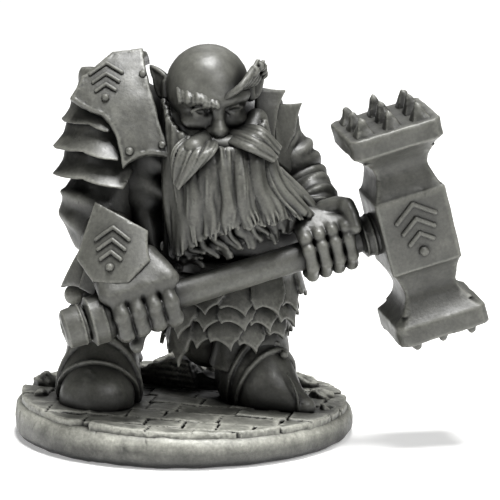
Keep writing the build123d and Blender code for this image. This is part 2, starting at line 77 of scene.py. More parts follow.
class Axes:
    """A right-handed local frame: x across, y up and z out of it, at an origin."""

    def __init__(self, origin, out, up=(0, 0, 1), keep_up=False):
        self.origin = np.array(origin, float)
        out, up = np.array(out, float), np.array(up, float)
        if keep_up:
            up = up / np.linalg.norm(up)
            out = out - up * (out @ up)
        self.z = out / np.linalg.norm(out)
        self.x = np.cross(up, self.z)
        self.x /= np.linalg.norm(self.x)
        self.y = np.cross(self.z, self.x)

    def local(self, x, y, z):
        px, py, pz = x - self.origin[0], y - self.origin[1], z - self.origin[2]
        return tuple(px * axis[0] + py * axis[1] + pz * axis[2] for axis in (self.x, self.y, self.z))

    def world(self, u, v, w=0.0):
        return self.origin + self.x * u + self.y * v + self.z * w


def ball(centre, radii, axes=None):
    """An ellipsoid, square to the given axes or to the world."""
    centre = np.array(centre, float)
    radii = np.array(radii, float) if np.ndim(radii) else np.full(3, float(radii))

    def distance(x, y, z):
        if axes is None:
            p = (x - centre[0], y - centre[1], z - centre[2])
        else:
            shift = axes.origin - centre
            p = axes.local(x + shift[0], y + shift[1], z + shift[2])
        near = np.sqrt(sum((p[i] / radii[i]) ** 2 for i in range(3)))
        slope = np.sqrt(sum((p[i] / radii[i] ** 2) ** 2 for i in range(3))) + 1e-6
        return near * (near - 1) / slope
    reach = radii if axes is None else np.full(3, radii.max())
    return Form(distance, centre - reach, centre + reach)


def rope(points, radii):
    """A round bar that runs through the points, with a radius at each."""
    points = [np.array(p, float) for p in points]
    radii = [float(r) for r in radii] if np.ndim(radii) else [float(radii)] * len(points)

    def distance(x, y, z):
        best = None
        for a, b, ra, rb in zip(points, points[1:], radii, radii[1:]):
            along = b - a
            px, py, pz = x - a[0], y - a[1], z - a[2]
            t = np.clip((px * along[0] + py * along[1] + pz * along[2]) / (along @ along + 1e-9), 0, 1)
            d = np.sqrt((px - t * along[0]) ** 2 + (py - t * along[1]) ** 2 + (pz - t * along[2]) ** 2)
            d = d - (ra + t * (rb - ra))
            best = d if best is None else np.minimum(best, d)
        return best
    thick = max(radii)
    return Form(distance, np.min(points, 0) - thick, np.max(points, 0) + thick)


def block(axes, half, soft=0.1):
    """A box with rounded edges."""
    half = np.array(half, float)

    def distance(x, y, z):
        q = [np.abs(p) - (h - soft) for p, h in zip(axes.local(x, y, z), half)]
        outside = np.sqrt(sum(np.maximum(part, 0) ** 2 for part in q))
        inside = np.minimum(np.maximum(q[0], np.maximum(q[1], q[2])), 0)
        return outside + inside - soft
    corners = [axes.world(sx * half[0], sy * half[1], sz * half[2])
               for sx in (-1, 1) for sy in (-1, 1) for sz in (-1, 1)]
    return Form(distance, np.min(corners, 0), np.max(corners, 0))


def outline_distance(u, v, corners):
    """Signed distance to a closed outline, negative inside it."""
    best = np.full(u.shape, 1e9, np.float32)
    inside = np.zeros(u.shape, bool)
    for (ax, ay), (bx, by) in zip(corners, corners[1:] + corners[:1]):
        ex, ey = bx - ax, by - ay
        pu, pv = u - ax, v - ay
        t = np.clip((pu * ex + pv * ey) / (ex * ex + ey * ey + 1e-12), 0, 1)
        best = np.minimum(best, (pu - t * ex) ** 2 + (pv - t * ey) ** 2)
        if by != ay:
            inside ^= ((ay > v) != (by > v)) & (pu < ex * pv / ey)
    return np.where(inside, -1, 1) * np.sqrt(best)


class Flat:
    """Plate coordinates on a plane that is bowed back: across, up and out."""

    def __init__(self, axes, bow=(0.0, 0.0)):
        self.axes = axes
        self.bow = bow

    def local(self, x, y, z):
        u, v, w = self.axes.local(x, y, z)
        return u, v, w + self.bow[0] * u * u + self.bow[1] * v * v

    def world(self, u, v, w=0.0):
        return self.axes.world(u, v, w - self.bow[0] * u * u - self.bow[1] * v * v)


class Wrap:
    """Plate coordinates round the y axis of a frame: arc length from the way it faces, height, out."""

    def __init__(self, axes, radius, flare=lambda v: 0 * v, squash=1.0):
        self.axes = axes
        self.radius = radius
        self.flare = flare
        self.squash = squash

    def local(self, x, y, z):
        a, v, b = self.axes.local(x, y, z)
        a = a / self.squash
        return self.radius * np.arctan2(a, b), v, np.hypot(a, b) - self.radius - self.flare(v)

    def world(self, u, v, w=0.0):
        r = self.radius + self.flare(v) + w
        turn = u / self.radius
        return self.axes.world(r * math.sin(turn) * self.squash, v, r * math.cos(turn))


def leaf(surface, corners, thick=0.4, rim=0.0, lift=0.0, soft=0.08):
    """A plate on a surface, cut to an outline, with a rolled rim."""
    corners = [tuple(map(float, c)) for c in corners]
    half = thick / 2

    def distance(x, y, z):
        u, v, w = surface.local(x, y, z)
        u, v, w = np.broadcast_arrays(u, v, w)
        result = np.maximum(np.abs(w) - half, 0.3).astype(np.float32)
        near = np.abs(w) < half + rim + lift + 0.6
        edge = outline_distance(u[near], v[near], corners)
        out = w[near]
        qa, qb = edge + soft, np.abs(out) - half + soft
        plate = np.hypot(np.maximum(qa, 0), np.maximum(qb, 0)) + np.minimum(np.maximum(qa, qb), 0) - soft
        if rim:
            bead = np.hypot(edge + rim, out - lift) - rim
            plate = np.minimum(plate, bead)
        result[near] = plate
        return result
    spots = []
    for (ax, ay), (bx, by) in zip(corners, corners[1:] + corners[:1]):
        for step in range(4):
            share = step / 4
            u, v = ax + (bx - ax) * share, ay + (by - ay) * share
            spots += [surface.world(u, v, -half), surface.world(u, v, half + lift),
                      surface.world(0.5 * u, v, half)]
    reach = rim + 0.15
    return Form(distance, np.min(spots, 0) - reach, np.max(spots, 0) + reach)


def meet(*forms):
    """What the forms have in common."""
    low = np.max([f.low for f in forms], 0)
    high = np.min([f.high for f in forms], 0)
    return Form(lambda x, y, z: np.maximum.reduce(
        np.broadcast_arrays(*[f.distance(x, y, z) for f in forms])), low, high)


def grown(form, amount):
    return Form(lambda x, y, z: form.distance(x, y, z) - amount, form.low - amount, form.high + amount)


def shell(form, thick):
    """A skin of a given thickness over a form."""
    return Form(lambda x, y, z: np.abs(form.distance(x, y, z)) - thick / 2,
                form.low - thick, form.high + thick)


def fused(forms, blend):
    """Forms run together into one."""
    def distance(x, y, z):
        total = forms[0].distance(x, y, z)
        for form in forms[1:]:
            total = mixed(total, form.distance(x, y, z), blend)
        return total
    return Form(distance, np.min([f.low for f in forms], 0), np.max([f.high for f in forms], 0))


def behind(point, direction, reach=30.0):
    """The half of space on the near side of a plane through the point, facing the direction."""
    point, direction = np.array(point, float), np.array(direction, float)
    direction = direction / np.linalg.norm(direction)

    def distance(x, y, z):
        return ((x - point[0]) * direction[0] + (y - point[1]) * direction[1] + (z - point[2]) * direction[2])
    return Form(distance, np.full(3, -reach), np.full(3, reach))


def lattice_noise(points, scale, seed):
    """Smooth noise between -1 and 1 at the points."""
    table = np.random.default_rng(seed).uniform(-1, 1, (32, 32, 32)).astype(np.float32)
    grid = points / scale
    cell = np.floor(grid).astype(int)
    part = grid - cell
    part = part * part * (3 - 2 * part)
    total = 0
    for corner in range(8):
        offset = np.array([corner & 1, corner >> 1 & 1, corner >> 2 & 1])
        weight = np.prod(np.where(offset, part, 1 - part), axis=1)
        index = (cell + offset) % 32
        total = total + weight * table[index[:, 0], index[:, 1], index[:, 2]]
    return total


class Clay:
    """Clay that forms are added to and cut from, in order, and that then becomes a mesh."""

    def __init__(self, cell=CELL, axes=None):
        self.cell = cell
        self.steps = []
        self.grain = []
        self.axes = axes

    def add(self, form, blend=0.0):
        self.steps.append((form, blend, 1))
        return self

    def cut(self, form, blend=0.0):
        self.steps.append((form, blend, -1))
        return self

    def roughen(self, amount, scale, seed):
        self.grain.append((amount, scale, seed))
        return self

    def field(self):
        added = [form for form, _, way in self.steps if way > 0]
        reach = 3 * self.cell
        low = np.min([form.low for form in added], 0) - reach
        high = np.max([form.high for form in added], 0) + reach
        counts = np.ceil((high - low) / self.cell).astype(int) + 1
        lines = [low[i] + self.cell * np.arange(counts[i], dtype=np.float32) for i in range(3)]
        field = np.full(counts, FAR, np.float32)
        for form, blend, way in self.steps:
            start = np.clip(np.floor((form.low - blend - reach - low) / self.cell).astype(int), 0, counts)
            end = np.clip(np.ceil((form.high + blend + reach - low) / self.cell).astype(int) + 1, 0, counts)
            if np.any(end <= start):
                continue
            spot = tuple(slice(a, b) for a, b in zip(start, end))
            x, y, z = np.meshgrid(*[line[s] for line, s in zip(lines, spot)], indexing="ij", sparse=True)
            d = np.asarray(form.distance(x, y, z), np.float32)
            old = field[spot]
            if way > 0:
                field[spot] = mixed(old, d, blend)
            else:
                field[spot] = -mixed(-old, d, blend)
        if self.grain:
            near = np.abs(field) < 3 * self.cell
            index = np.argwhere(near)
            points = low + index * self.cell
            for amount, scale, seed in self.grain:
                field[near] += (amount * lattice_noise(points, scale, seed)).astype(np.float32)
        return field, low

    def mesh(self, name):
        field, low = self.field()
        grid = openvdb.FloatGrid(FAR)
        grid.copyFromArray(np.clip(field, -FAR, FAR))
        points, triangles, quads = grid.convertToPolygons(isovalue=0.0, adaptivity=THRIFT)
        # The surface's bend at each point, kept for the painted highlight on edges and the painted shade in
        # creases.
        painted_highlight_shade = surface_bend(field, points)
        points = points * self.cell + low
        if self.axes is not None:
            points = (self.axes.origin + points[:, :1] * self.axes.x + points[:, 1:2] * self.axes.y
                      + points[:, 2:] * self.axes.z)
        return solid_mesh(name, points, triangles, quads, painted_highlight_shade)


def mixed(one, two, blend):
    """The union of two distances, rounded where they meet."""
    if blend <= 0:
        return np.minimum(one, two)
    share = np.clip(0.5 + 0.5 * (one - two) / blend, 0, 1)
    return one + (two - one) * share - blend * share * (1 - share)


def surface_bend(field, points):
    """How sharply the surface turns at each point: above 0 on edges, below 0 in creases; the materials turn
    it into painted highlight and painted shade.
    """
    limit = np.clip(field, -0.6, 0.6)
    blur = limit
    for axis in range(3):
        blur = (blur + np.roll(blur, 1, axis) + np.roll(blur, -1, axis)
                + np.roll(blur, 2, axis) + np.roll(blur, -2, axis)) / 5
    index = np.clip(np.round(points).astype(int), 0, np.array(field.shape) - 1)
    return (blur - limit)[index[:, 0], index[:, 1], index[:, 2]]


def solid_mesh(name, points, triangles, quads, painted_highlight_shade):
    """A smooth mesh with its faces turned outwards and the surface bend, used for painted highlight and
    painted shade, kept at its points.
    """
    mesh = bpy.data.meshes.new(name)
    mesh.vertices.add(len(points))
    mesh.vertices.foreach_set("co", (points * MM).astype(np.float32).ravel())
    corners = np.vstack([triangles, quads[:, :3], quads[:, (0, 2, 3)]])
    a, b, c = (points[corners[:, i]] for i in range(3))
    if np.einsum("ij,ij->i", a, np.cross(b, c)).sum() < 0:
        triangles, quads = triangles[:, ::-1], quads[:, ::-1]
    loops = np.concatenate([triangles.ravel(), quads.ravel()]).astype(np.int32)
    starts = np.concatenate([np.arange(0, triangles.size, 3), triangles.size + np.arange(0, quads.size, 4)])
    mesh.loops.add(len(loops))
    mesh.loops.foreach_set("vertex_index", loops)
    mesh.polygons.add(len(starts))
    mesh.polygons.foreach_set("loop_start", starts.astype(np.int32))
    mesh.polygons.foreach_set("use_smooth", np.ones(len(starts), bool))
    mesh.update(calc_edges=True)
    attribute = mesh.attributes.new("painted_highlight_shade", "FLOAT", "POINT")
    attribute.data.foreach_set("value", painted_highlight_shade.astype(np.float32))
    return mesh


def place(name, clay, slot, *nodes):
    """Turn clay into a piece of the object that stands for the CAD nodes."""
    mesh = clay.mesh(name)
    piece = bpy.data.objects.new(name, mesh)
    bpy.context.scene.collection.objects.link(piece)
    mesh.materials.append(MATERIALS[slot])
    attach(piece, "root")
    if nodes:
        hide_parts(*nodes)
    return piece


def curve_points(points, count):
    """Evenly spread points on a smooth curve through the given ones."""
    points = np.array(points, float)
    ends = np.vstack([2 * points[0] - points[1], points, 2 * points[-1] - points[-2]])
    result = []
    for share in np.linspace(0, len(points) - 1, count):
        i = min(int(share), len(points) - 2)
        t = share - i
        p0, p1, p2, p3 = ends[i:i + 4]
        result.append(0.5 * ((2 * p1) + (p2 - p0) * t + (2 * p0 - 5 * p1 + 4 * p2 - p3) * t * t
                             + (3 * p1 - p0 - 3 * p2 + p3) * t ** 3))
    return np.array(result)


def limb(points, radii, count=8):
    """A bar on a smooth curve through the points, its radius running evenly through the given ones."""
    share = np.interp(np.linspace(0, 1, count), np.linspace(0, 1, len(radii)), radii)
    return rope(curve_points(points, count), share)


def bowed(corners, bulges):
    """An outline whose sides are arcs; a side's bulge is its rise as a share of its length."""
    result = []
    for i, (ax, ay) in enumerate(corners):
        bx, by = corners[(i + 1) % len(corners)]
        bulge = bulges[i % len(bulges)]
        steps = 1 if not bulge else 6
        for step in range(steps):
            t = step / steps
            rise = 4 * bulge * t * (1 - t)
            result.append((ax + (bx - ax) * t + (by - ay) * rise, ay + (by - ay) * t - (bx - ax) * rise))
    return result


# ---- materials -------------------------------------------------------------------------------

class Nodes:
    """Short ways to build a material's node tree."""

    def __init__(self, name):
        self.material = bpy.data.materials.new(name)
        self.material.use_nodes = True
        self.tree = self.material.node_tree
        self.shader = self.tree.nodes["Principled BSDF"]

    def node(self, kind, **values):
        made = self.tree.nodes.new(kind)
        for key, value in values.items():
            setattr(made, key, value)
        return made

    def link(self, source, target):
        self.tree.links.new(source, target)

    def noise(self, size_mm, detail, rough=0.55):
        """Noise whose features are about size_mm across."""
        place = self.node("ShaderNodeTexCoord")
        made = self.node("ShaderNodeTexNoise")
        made.inputs["Scale"].default_value = 1 / (size_mm * MM)
        made.inputs["Detail"].default_value = detail
        made.inputs["Roughness"].default_value = rough
        self.link(place.outputs["Object"], made.inputs["Vector"])
        return made.outputs["Fac"]

    def ranged(self, source, low, high, to_low, to_high):
        made = self.node("ShaderNodeMapRange")
        for index, value in zip((1, 2, 3, 4), (low, high, to_low, to_high)):
            made.inputs[index].default_value = value
        self.link(source, made.inputs[0])
        return made.outputs[0]

    def times(self, *sources):
        total = sources[0]
        for source in sources[1:]:
            made = self.node("ShaderNodeMath", operation="MULTIPLY")
            self.link(total, made.inputs[0])
            self.link(source, made.inputs[1])
            total = made.outputs[0]
        return total


RESIN_TINT = (1.0, 1.0, 0.88)       # a slightly green, warm grey


def resin(slot, tone, roughness, mottle, grain_mm, grain, edge_highlight_gain):
    """Bare casting resin: mottled grey, with painted shade darkening its creases and hollows and a painted
    highlight lightening its edges.
    """
    made = Nodes(slot)
    broad = made.ranged(made.noise(2.6, 3), 0.3, 0.7, 1 - mottle, 1 + mottle)
    fine = made.ranged(made.noise(0.22, 4), 0.3, 0.7, 1 - mottle, 1 + mottle)
    # Painted highlight and painted shade: edges are lightened and creases darkened in the colour, standing in
    # for light catching the rims and shade in the folds.
    attribute = made.node("ShaderNodeAttribute", attribute_name="painted_highlight_shade")
    highlight_curve = made.node("ShaderNodeFloatCurve")
    curve = highlight_curve.mapping.curves[0]
    curve.points[0].location = (0.0, 0.12)
    curve.points[1].location = (1.0, 0.5 + 0.5 * edge_highlight_gain)
    curve.points.new(0.5, 0.5)
    curve.points.new(0.62, 0.5 + 0.14 * edge_highlight_gain)
    highlight_curve.mapping.update()
    made.link(made.ranged(attribute.outputs["Fac"], -0.035, 0.035, 0, 1), highlight_curve.inputs["Value"])
    painted_highlight_shade = made.ranged(highlight_curve.outputs[0], 0, 1, 0, 2.3)
    # Painted shade: ambient occlusion darkens the colour in hollows, creases and between parts, where shade
    # falls, and is squared to deepen it.
    hollow = made.node("ShaderNodeAmbientOcclusion", samples=8)
    hollow.inputs["Distance"].default_value = 3.2 * MM
    shade = made.ranged(hollow.outputs["AO"], 0.25, 1.0, 0.08, 1.05)
    shade = made.times(shade, shade)
    value = made.times(broad, fine, painted_highlight_shade, shade)
    colour = made.node("ShaderNodeMix", data_type="RGBA", blend_type="MULTIPLY")
    colour.inputs["Factor"].default_value = 1
    colour.inputs["A"].default_value = tuple(tone * part for part in RESIN_TINT) + (1,)
    made.link(value, colour.inputs["B"])
    made.link(colour.outputs["Result"], made.shader.inputs["Base Color"])
    gloss = made.ranged(made.noise(0.8, 3), 0.3, 0.7, roughness - 0.07, roughness + 0.07)
    made.link(gloss, made.shader.inputs["Roughness"])
    made.shader.inputs["Specular IOR Level"].default_value = 0.42
    bump = made.node("ShaderNodeBump")
    bump.inputs["Strength"].default_value = grain
    bump.inputs["Distance"].default_value = 0.03 * MM
    made.link(made.noise(grain_mm, 5, 0.65), bump.inputs["Height"])
    made.link(bump.outputs["Normal"], made.shader.inputs["Normal"])
    return made.material


# All slots are the same grey resin; their tones differ as painted light and shade: the open, lit base is set
# lighter and the shaded cloth, leather and armour darker.
MATERIALS = {
    "resin_base": resin("resin_base", 0.122, 0.46, 0.24, 0.14, 0.70, 1.0),
    "resin_armour": resin("resin_armour", 0.052, 0.40, 0.20, 0.20, 0.55, 1.0),
    "resin_skin": resin("resin_skin", 0.058, 0.40, 0.14, 0.28, 0.40, 0.9),
    "resin_hair": resin("resin_hair", 0.053, 0.42, 0.16, 0.16, 0.45, 1.0),
    "resin_cloth": resin("resin_cloth", 0.044, 0.46, 0.18, 0.14, 0.60, 0.9),
    "resin_leather": resin("resin_leather", 0.042, 0.42, 0.18, 0.18, 0.55, 1.0),
    "resin_weapon": resin("resin_weapon", 0.050, 0.42, 0.20, 0.22, 0.65, 1.0),
}


# ---- base ------------------------------------------------------------------------------------

BASE_RADIUS = 12.5
CROWN = 2.35                   # height of the plinth's top at its middle
CROWN_FALL = 0.028             # how much the top falls for each millimetre towards +X
STONE_RISE = 0.4
PAVED = 12.0                   # radius that the cobbles reach
COURSE_TURN = math.radians(-11)


def ground(x):
    return CROWN - CROWN_FALL * x + STONE_RISE


def plinth():
    def distance(x, y, z):
        half = (CROWN - CROWN_FALL * x) / 2
        soft = np.where(z < half, 0.95, 0.85)
        out = np.hypot(x, y) - (BASE_RADIUS - soft)
        up = np.abs(z - half) - (half - soft)
        return np.hypot(np.maximum(out, 0), np.maximum(up, 0)) + np.minimum(np.maximum(out, up), 0) - soft
    clay = Clay(0.16)
    clay.add(Form(distance, (-BASE_RADIUS, -BASE_RADIUS, 0), (BASE_RADIUS, BASE_RADIUS, 3.0)))
    clay.roughen(0.05, 1.3, 3).roughen(0.03, 0.45, 4)
    clay.cut(Form(lambda x, y, z: z + 0 * x + 0 * y, (-13, -13, -1), (13, 13, 0.1)))
    place("plinth", clay, "resin_base", "base_plinth")


def paving():
    dice = random.Random(11)
    clay = Clay()
    across = np.array((math.cos(COURSE_TURN), math.sin(COURSE_TURN)))
    deep = np.array((-across[1], across[0]))
    edge = Form(lambda x, y, z: np.hypot(x, y) - PAVED + 0 * z, (-12.2, -12.2, 0), (12.2, 12.2, 5))
    row = -12.5
    while row < 12.5:
        depth = dice.uniform(1.9, 2.6)
        column = -13 - dice.uniform(0, 3)
        while column < 13:
            width = dice.uniform(2.2, 4.4)
            x, y = across * (column + width / 2) + deep * (row + depth / 2)
            rise = dice.uniform(-0.07, 0.07)
            tilt = (dice.uniform(-0.035, 0.035), dice.uniform(-0.03, 0.03))
            turn = COURSE_TURN + math.radians(dice.uniform(-4, 4))
            column += width
            if math.hypot(x, y) > 12.6:
                continue
            axes = Axes((x, y, ground(x) + rise - 0.5), (CROWN_FALL + tilt[0], tilt[1], 1),
                        (-math.sin(turn), math.cos(turn), 0))
            stone = block(axes, (width / 2 - 0.03, depth / 2 - 0.03, 0.5), 0.1)
            clay.add(meet(stone, edge), 0.02)
        row += depth
    clay.roughen(0.05, 1.1, 8).roughen(0.035, 0.4, 9)
    place("paving", clay, "resin_base", "paving_stones")


def rock(centre, half, seed, layers=0):
    """A broken rock: the space inside a handful of slanting planes, split into layers."""
    dice = random.Random(seed)
    normals = []
    for i in range(11):
        turn = math.radians(i * 360 / 7 + dice.uniform(-20, 20))
        rise = dice.uniform(-0.1, 0.5) if i < 7 else dice.uniform(0.8, 2.5)
        normal = np.array((math.cos(turn), math.sin(turn), rise))
        normals.append((normal / np.linalg.norm(normal), dice.uniform(0.75, 1.0)))

    def distance(x, y, z):
        px, py, pz = x - centre[0], y - centre[1], z - centre[2]
        result = None
        for normal, size in normals:
            reach = size * np.sqrt(sum((normal[k] * half[k]) ** 2 for k in range(3)))
            d = normal[0] * px + normal[1] * py + normal[2] * pz - reach
            result = d if result is None else np.maximum(result, d)
        if layers:
            result = result + 0.10 * np.abs(np.sin(pz * layers + 0.4 * px))
        return np.maximum(result, -pz - half[2])
    return Form(distance, np.array(centre) - half, np.array(centre) + half)


def rubble():
    clay = Clay(0.12)
    places = ((-4.6, 8.4, 2.0, 1.5, 1.3, 2), (-0.8, 9.4, 2.0, 1.2, 1.6, 3), (2.9, 8.8, 1.7, 1.4, 1.1, 4),
              (-7.9, 6.2, 1.5, 1.7, 1.0, 5), (8.6, 4.3, 1.7, 1.5, 1.15, 6), (10.1, 0.8, 1.2, 1.5, 0.9, 7),
              (6.3, 7.2, 1.5, 1.3, 1.3, 8), (-10.1, 2.6, 1.2, 1.8, 0.9, 9), (-10.6, -1.0, 0.9, 1.4, 0.5, 10),
              (10.6, -2.8, 1.0, 1.1, 0.5, 12))
    for x, y, half_x, half_y, height, seed in places:
        clay.add(rock((x, y, ground(x) - 0.3), (half_x, half_y, height), seed, 5), 0.03)
    clay.add(rock((-0.9, 4.6, ground(0) - 0.3), (3.4, 2.6, 2.0), 21, 7), 0.03)
    clay.add(rock((1.4, 3.4, ground(0) - 0.3), (2.2, 1.8, 1.3), 22, 7), 0.03)
    clay.roughen(0.09, 0.8, 12).roughen(0.05, 0.3, 13)
    place("rubble", clay, "resin_base", "rear_rubble")


# ---- boots and legs --------------------------------------------------------------------------

def hoop(axes, middle, radius, count=40):
    """Points on a closed circle across a frame."""
    return [axes.world(middle[0] + radius * math.cos(turn), middle[1] + radius * math.sin(turn), middle[2])
            for turn in np.linspace(0, 2 * math.pi, count)]


def boot(side, x, y, turn, width, bands, knobs=(), pointed=False):
    """A round-toed boot with overlapping bands of plate; each band starts at a distance forward
    of the middle at the floor and leans forward by so much for each millimetre of height."""
    floor = ground(x) - 0.1
    out = np.array((math.sin(math.radians(turn)), -math.cos(math.radians(turn)), 0))
    up = np.array((0, 0, 1))
    axes = Axes((x, y, floor), out)
    above = behind((0, 0, floor), -up)
    toe = ball(axes.world(0, 0.6, 2.2), (width, 2.5, 2.6), axes)
    if pointed:
        toe = rope([axes.world(0, 1.0, 1.3), axes.world(0.5, 0.35, 4.5)], (2.2, 0.75))
    body = fused([toe,
                  ball(axes.world(0, 1.4, 0.4), (width * 0.97, 3.0, 2.5), axes),
                  ball(axes.world(0, 1.6, -2.2), (width * 0.8, 2.4, 2.0), axes),
                  rope([axes.world(0, 2.6, -0.6), axes.world(0, 4.8, -1.3)], (2.1, 2.0))], 0.8)
    clay = Clay()
    clay.add(meet(body, above))
    ridge = [axes.world(-0.3, 0.2, 4.72), axes.world(-0.35, 1.6, 4.45), axes.world(-0.3, 2.8, 3.4)]
    clay.add(rope(curve_points(ridge, 8), 0.09), 0.16)
    clay.roughen(0.035, 0.8, 14).roughen(0.02, 0.3, 15)
    place(side + "_boot", clay, "resin_leather", side + "_boot")

    armour = Clay(0.09)
    for i, (start, lean) in enumerate(bands):
        front = behind(axes.world(0, 0, start), out - lean * up)
        rear_start, rear_lean = bands[i + 1] if i + 1 < len(bands) else (-1.6, 0.0)
        rear = behind(axes.world(0, 0, rear_start - 0.4), -(out - rear_lean * up))
        armour.add(meet(grown(body, 0.20 + 0.20 * i), front, rear, above))
        lip = meet(grown(body, 0.30 + 0.20 * i), front, above,
                   behind(axes.world(0, 0, start - 0.26), -(out - lean * up)))
        armour.add(lip, 0.08)
    for knob in knobs:
        armour.add(ball(knob, 0.34), 0.06)
    shin = Axes(axes.world(0, 3.4, -1.4), out)
    tube = Wrap(shin, 2.3, lambda v: 0.3 * np.exp(-np.maximum(v + 0.6, 0) * 1.3), 1.05)
    wide = 2.3 * math.pi * 0.93
    armour.add(leaf(tube, bowed([(-wide, -0.3), (0, -0.7), (wide, -0.3), (wide, 3.2), (-wide, 3.2)],
                                [0.05, 0.05, 0, 0, 0]), 0.35, 0.15, 0.05), 0.05)
    armour.roughen(0.02, 0.5, 16)
    place(side + "_greave", armour, "resin_armour", side + "_greave")


def legs():
    for side, points in (("right", ((-6.0, -0.6, 6.0), (-5.8, -0.7, 9.2), (-1.2, 0.6, 12.9))),
                         ("left", ((5.9, -0.8, 6.0), (5.3, -0.4, 8.8), (4.2, 0.4, 12.4)))):
        clay = Clay(0.13)
        path = curve_points(points, 9)
        clay.add(rope(path, np.linspace(1.9, 2.2, 9)))
        for i in range(5):
            spot = path[2 + i]
            fold = [spot + (-1.9, -0.7, 0.2), spot + (-0.2, -2.0, -0.2), spot + (1.7, -0.9, 0.3)]
            clay.add(rope(fold, 0.3), 0.3)
        clay.roughen(0.04, 0.7, 15)
        place(side + "_leg", clay, "resin_cloth", side + "_leg")


# ---- skirt and trunk -------------------------------------------------------------------------

SKIRT_AXES = Axes((3.2, 0.2, 0), (0, -1, 0))


def skirt_leaf(radius, flare, turn, top, tip, width, skew):
    """One hanging plate of the skirt: an outline with hollow sides and a second small point."""
    centre = radius * math.radians(turn)
    drop = top - tip
    corners = [(centre - width / 2, top), (centre + width / 2, top), (centre + width / 2, tip + 0.55 * drop),
               (centre + 0.34 * width + 0.3 * skew, tip + 0.34 * drop), (centre + skew, tip),
               (centre - 0.30 * width + 0.5 * skew, tip + 0.30 * drop),
               (centre - 0.40 * width, tip + 0.22 * drop), (centre - width / 2, tip + 0.5 * drop)]
    surface = Wrap(SKIRT_AXES, radius, lambda v: flare * (top - v) / drop)
    return leaf(surface, bowed(corners, [0, 0, 0.08, 0.14, 0.12, 0.08, 0, 0.05]), 0.34, 0.13, 0.06)


def skirt():
    rows = (("upper", 4.9, 0.7, 12.4, ((-44, 9.3, -0.4), (-18, 9.8, 0.2), (8, 9.6, 0.5), (34, 9.5, 0.5),
                                       (60, 9.4, 0.3), (86, 10.0, 0.9))),
            ("middle", 4.5, 0.7, 11.2, ((-62, 8.0, -0.3), (-42, 7.6, 0.1), (-14, 8.4, -0.4), (8, 8.5, 0.5),
                                        (33, 8.2, 0.3), (60, 8.2, 0.4), (84, 8.6, 0.5))),
            ("lower", 4.1, 0.6, 9.6, ((-70, 6.4, 0.2), (-50, 5.3, 0.3), (-24, 7.0, -0.3), (-2, 7.0, 0.4),
                                      (24, 6.6, 0.2), (52, 7.4, 0.3), (88, 7.4, 0.6))))
    for name, radius, flare, top, front in rows:
        clay = Clay(0.1)
        dice = random.Random(len(name))
        leaves = list(front) + [(turn, front[0][1] + dice.uniform(-0.5, 0.5), dice.uniform(-0.4, 0.4))
                                for turn in range(112, 290, 26)]
        for i, (turn, tip, skew) in enumerate(leaves):
            lift = 0.22 if i % 2 else 0.0
            width = radius * math.radians(34)
            signed = turn if turn <= 180 else turn - 360
            clay.add(skirt_leaf(radius + lift, flare, signed, top, tip, width, skew))
        level = Axes(SKIRT_AXES.origin, (0, 0, 1), (0, 1, 0))
        clay.add(rope(hoop(level, (0, 0, top - 0.1), radius), 0.34), 0.1)
        clay.roughen(0.02, 0.6, 16)
        place("skirt_" + name, clay, "resin_armour", "skirt_row_" + name)


def inner_robe():
    clay = Clay(0.12)
    path = [(3.0, 0.8, 11.4), (2.4, 1.5, 9.2), (1.9, 1.9, 6.9)]
    clay.add(limb(path, (3.1, 2.5)))
    for i in range(9):
        turn = math.radians(-170 + i * 40)
        points = [(x + r * math.sin(turn), y - r * math.cos(turn), z)
                  for (x, y, z), r in zip(path, (3.0, 2.8, 2.4))]
        clay.add(limb(points, (0.25, 0.5), 6), 0.4)
    clay.roughen(0.05, 0.8, 20)
    place("inner_robe", clay, "resin_cloth", "under_robe")


def trunk():
    clay = Clay(0.13)
    for spot, radii in (((3.1, 0.2, 12.2), (4.3, 4.0, 2.6)), ((2.8, 0.0, 15.5), (4.7, 4.3, 3.6)),
                        ((2.0, 0.2, 19.6), (5.2, 4.1, 4.0)), ((1.3, 0.6, 22.8), (5.0, 3.4, 2.9))):
        clay.add(ball(spot, radii), 1.2)
    for spot, radii in (((-2.7, -3.4, 20.6), (1.7, 1.5, 1.4)), ((-2.8, -3.6, 18.2), (1.7, 1.5, 1.3)),
                        ((-2.3, -3.9, 16.0), (1.5, 1.3, 1.2))):
        clay.add(ball(spot, radii), 0.7)
    clay.add(ball((6.6, -1.4, 15.8), (2.5, 2.6, 2.6)), 0.8)
    folds = (((-3.4, -3.9, 21.9), (-2.2, -4.6, 21.5), (-1.0, -4.8, 20.4)),
             ((-3.8, -4.0, 19.5), (-2.4, -4.8, 19.4), (-0.9, -5.0, 18.4)),
             ((-2.7, -4.7, 17.0), (-2.2, -5.2, 15.2), (-1.2, -5.3, 12.8)))
    for fold in folds:
        clay.add(limb(fold, (0.5, 0.4), 9), 0.8)
    clay.roughen(0.06, 1.2, 17)
    place("trunk", clay, "resin_cloth", "torso")

    strap = Clay()
    round_waist = Wrap(Axes((3.0, 0.2, 13.0), (0, -1, 0)), 4.5)
    half = 4.5 * math.pi
    strap.add(leaf(round_waist, [(-half, -0.6), (half, -0.6), (half, 0.6), (-half, 0.6)], 0.5, 0.12, 0.1))
    strap.roughen(0.03, 0.5, 18)
    place("waist_belt", strap, "resin_leather", "belt")


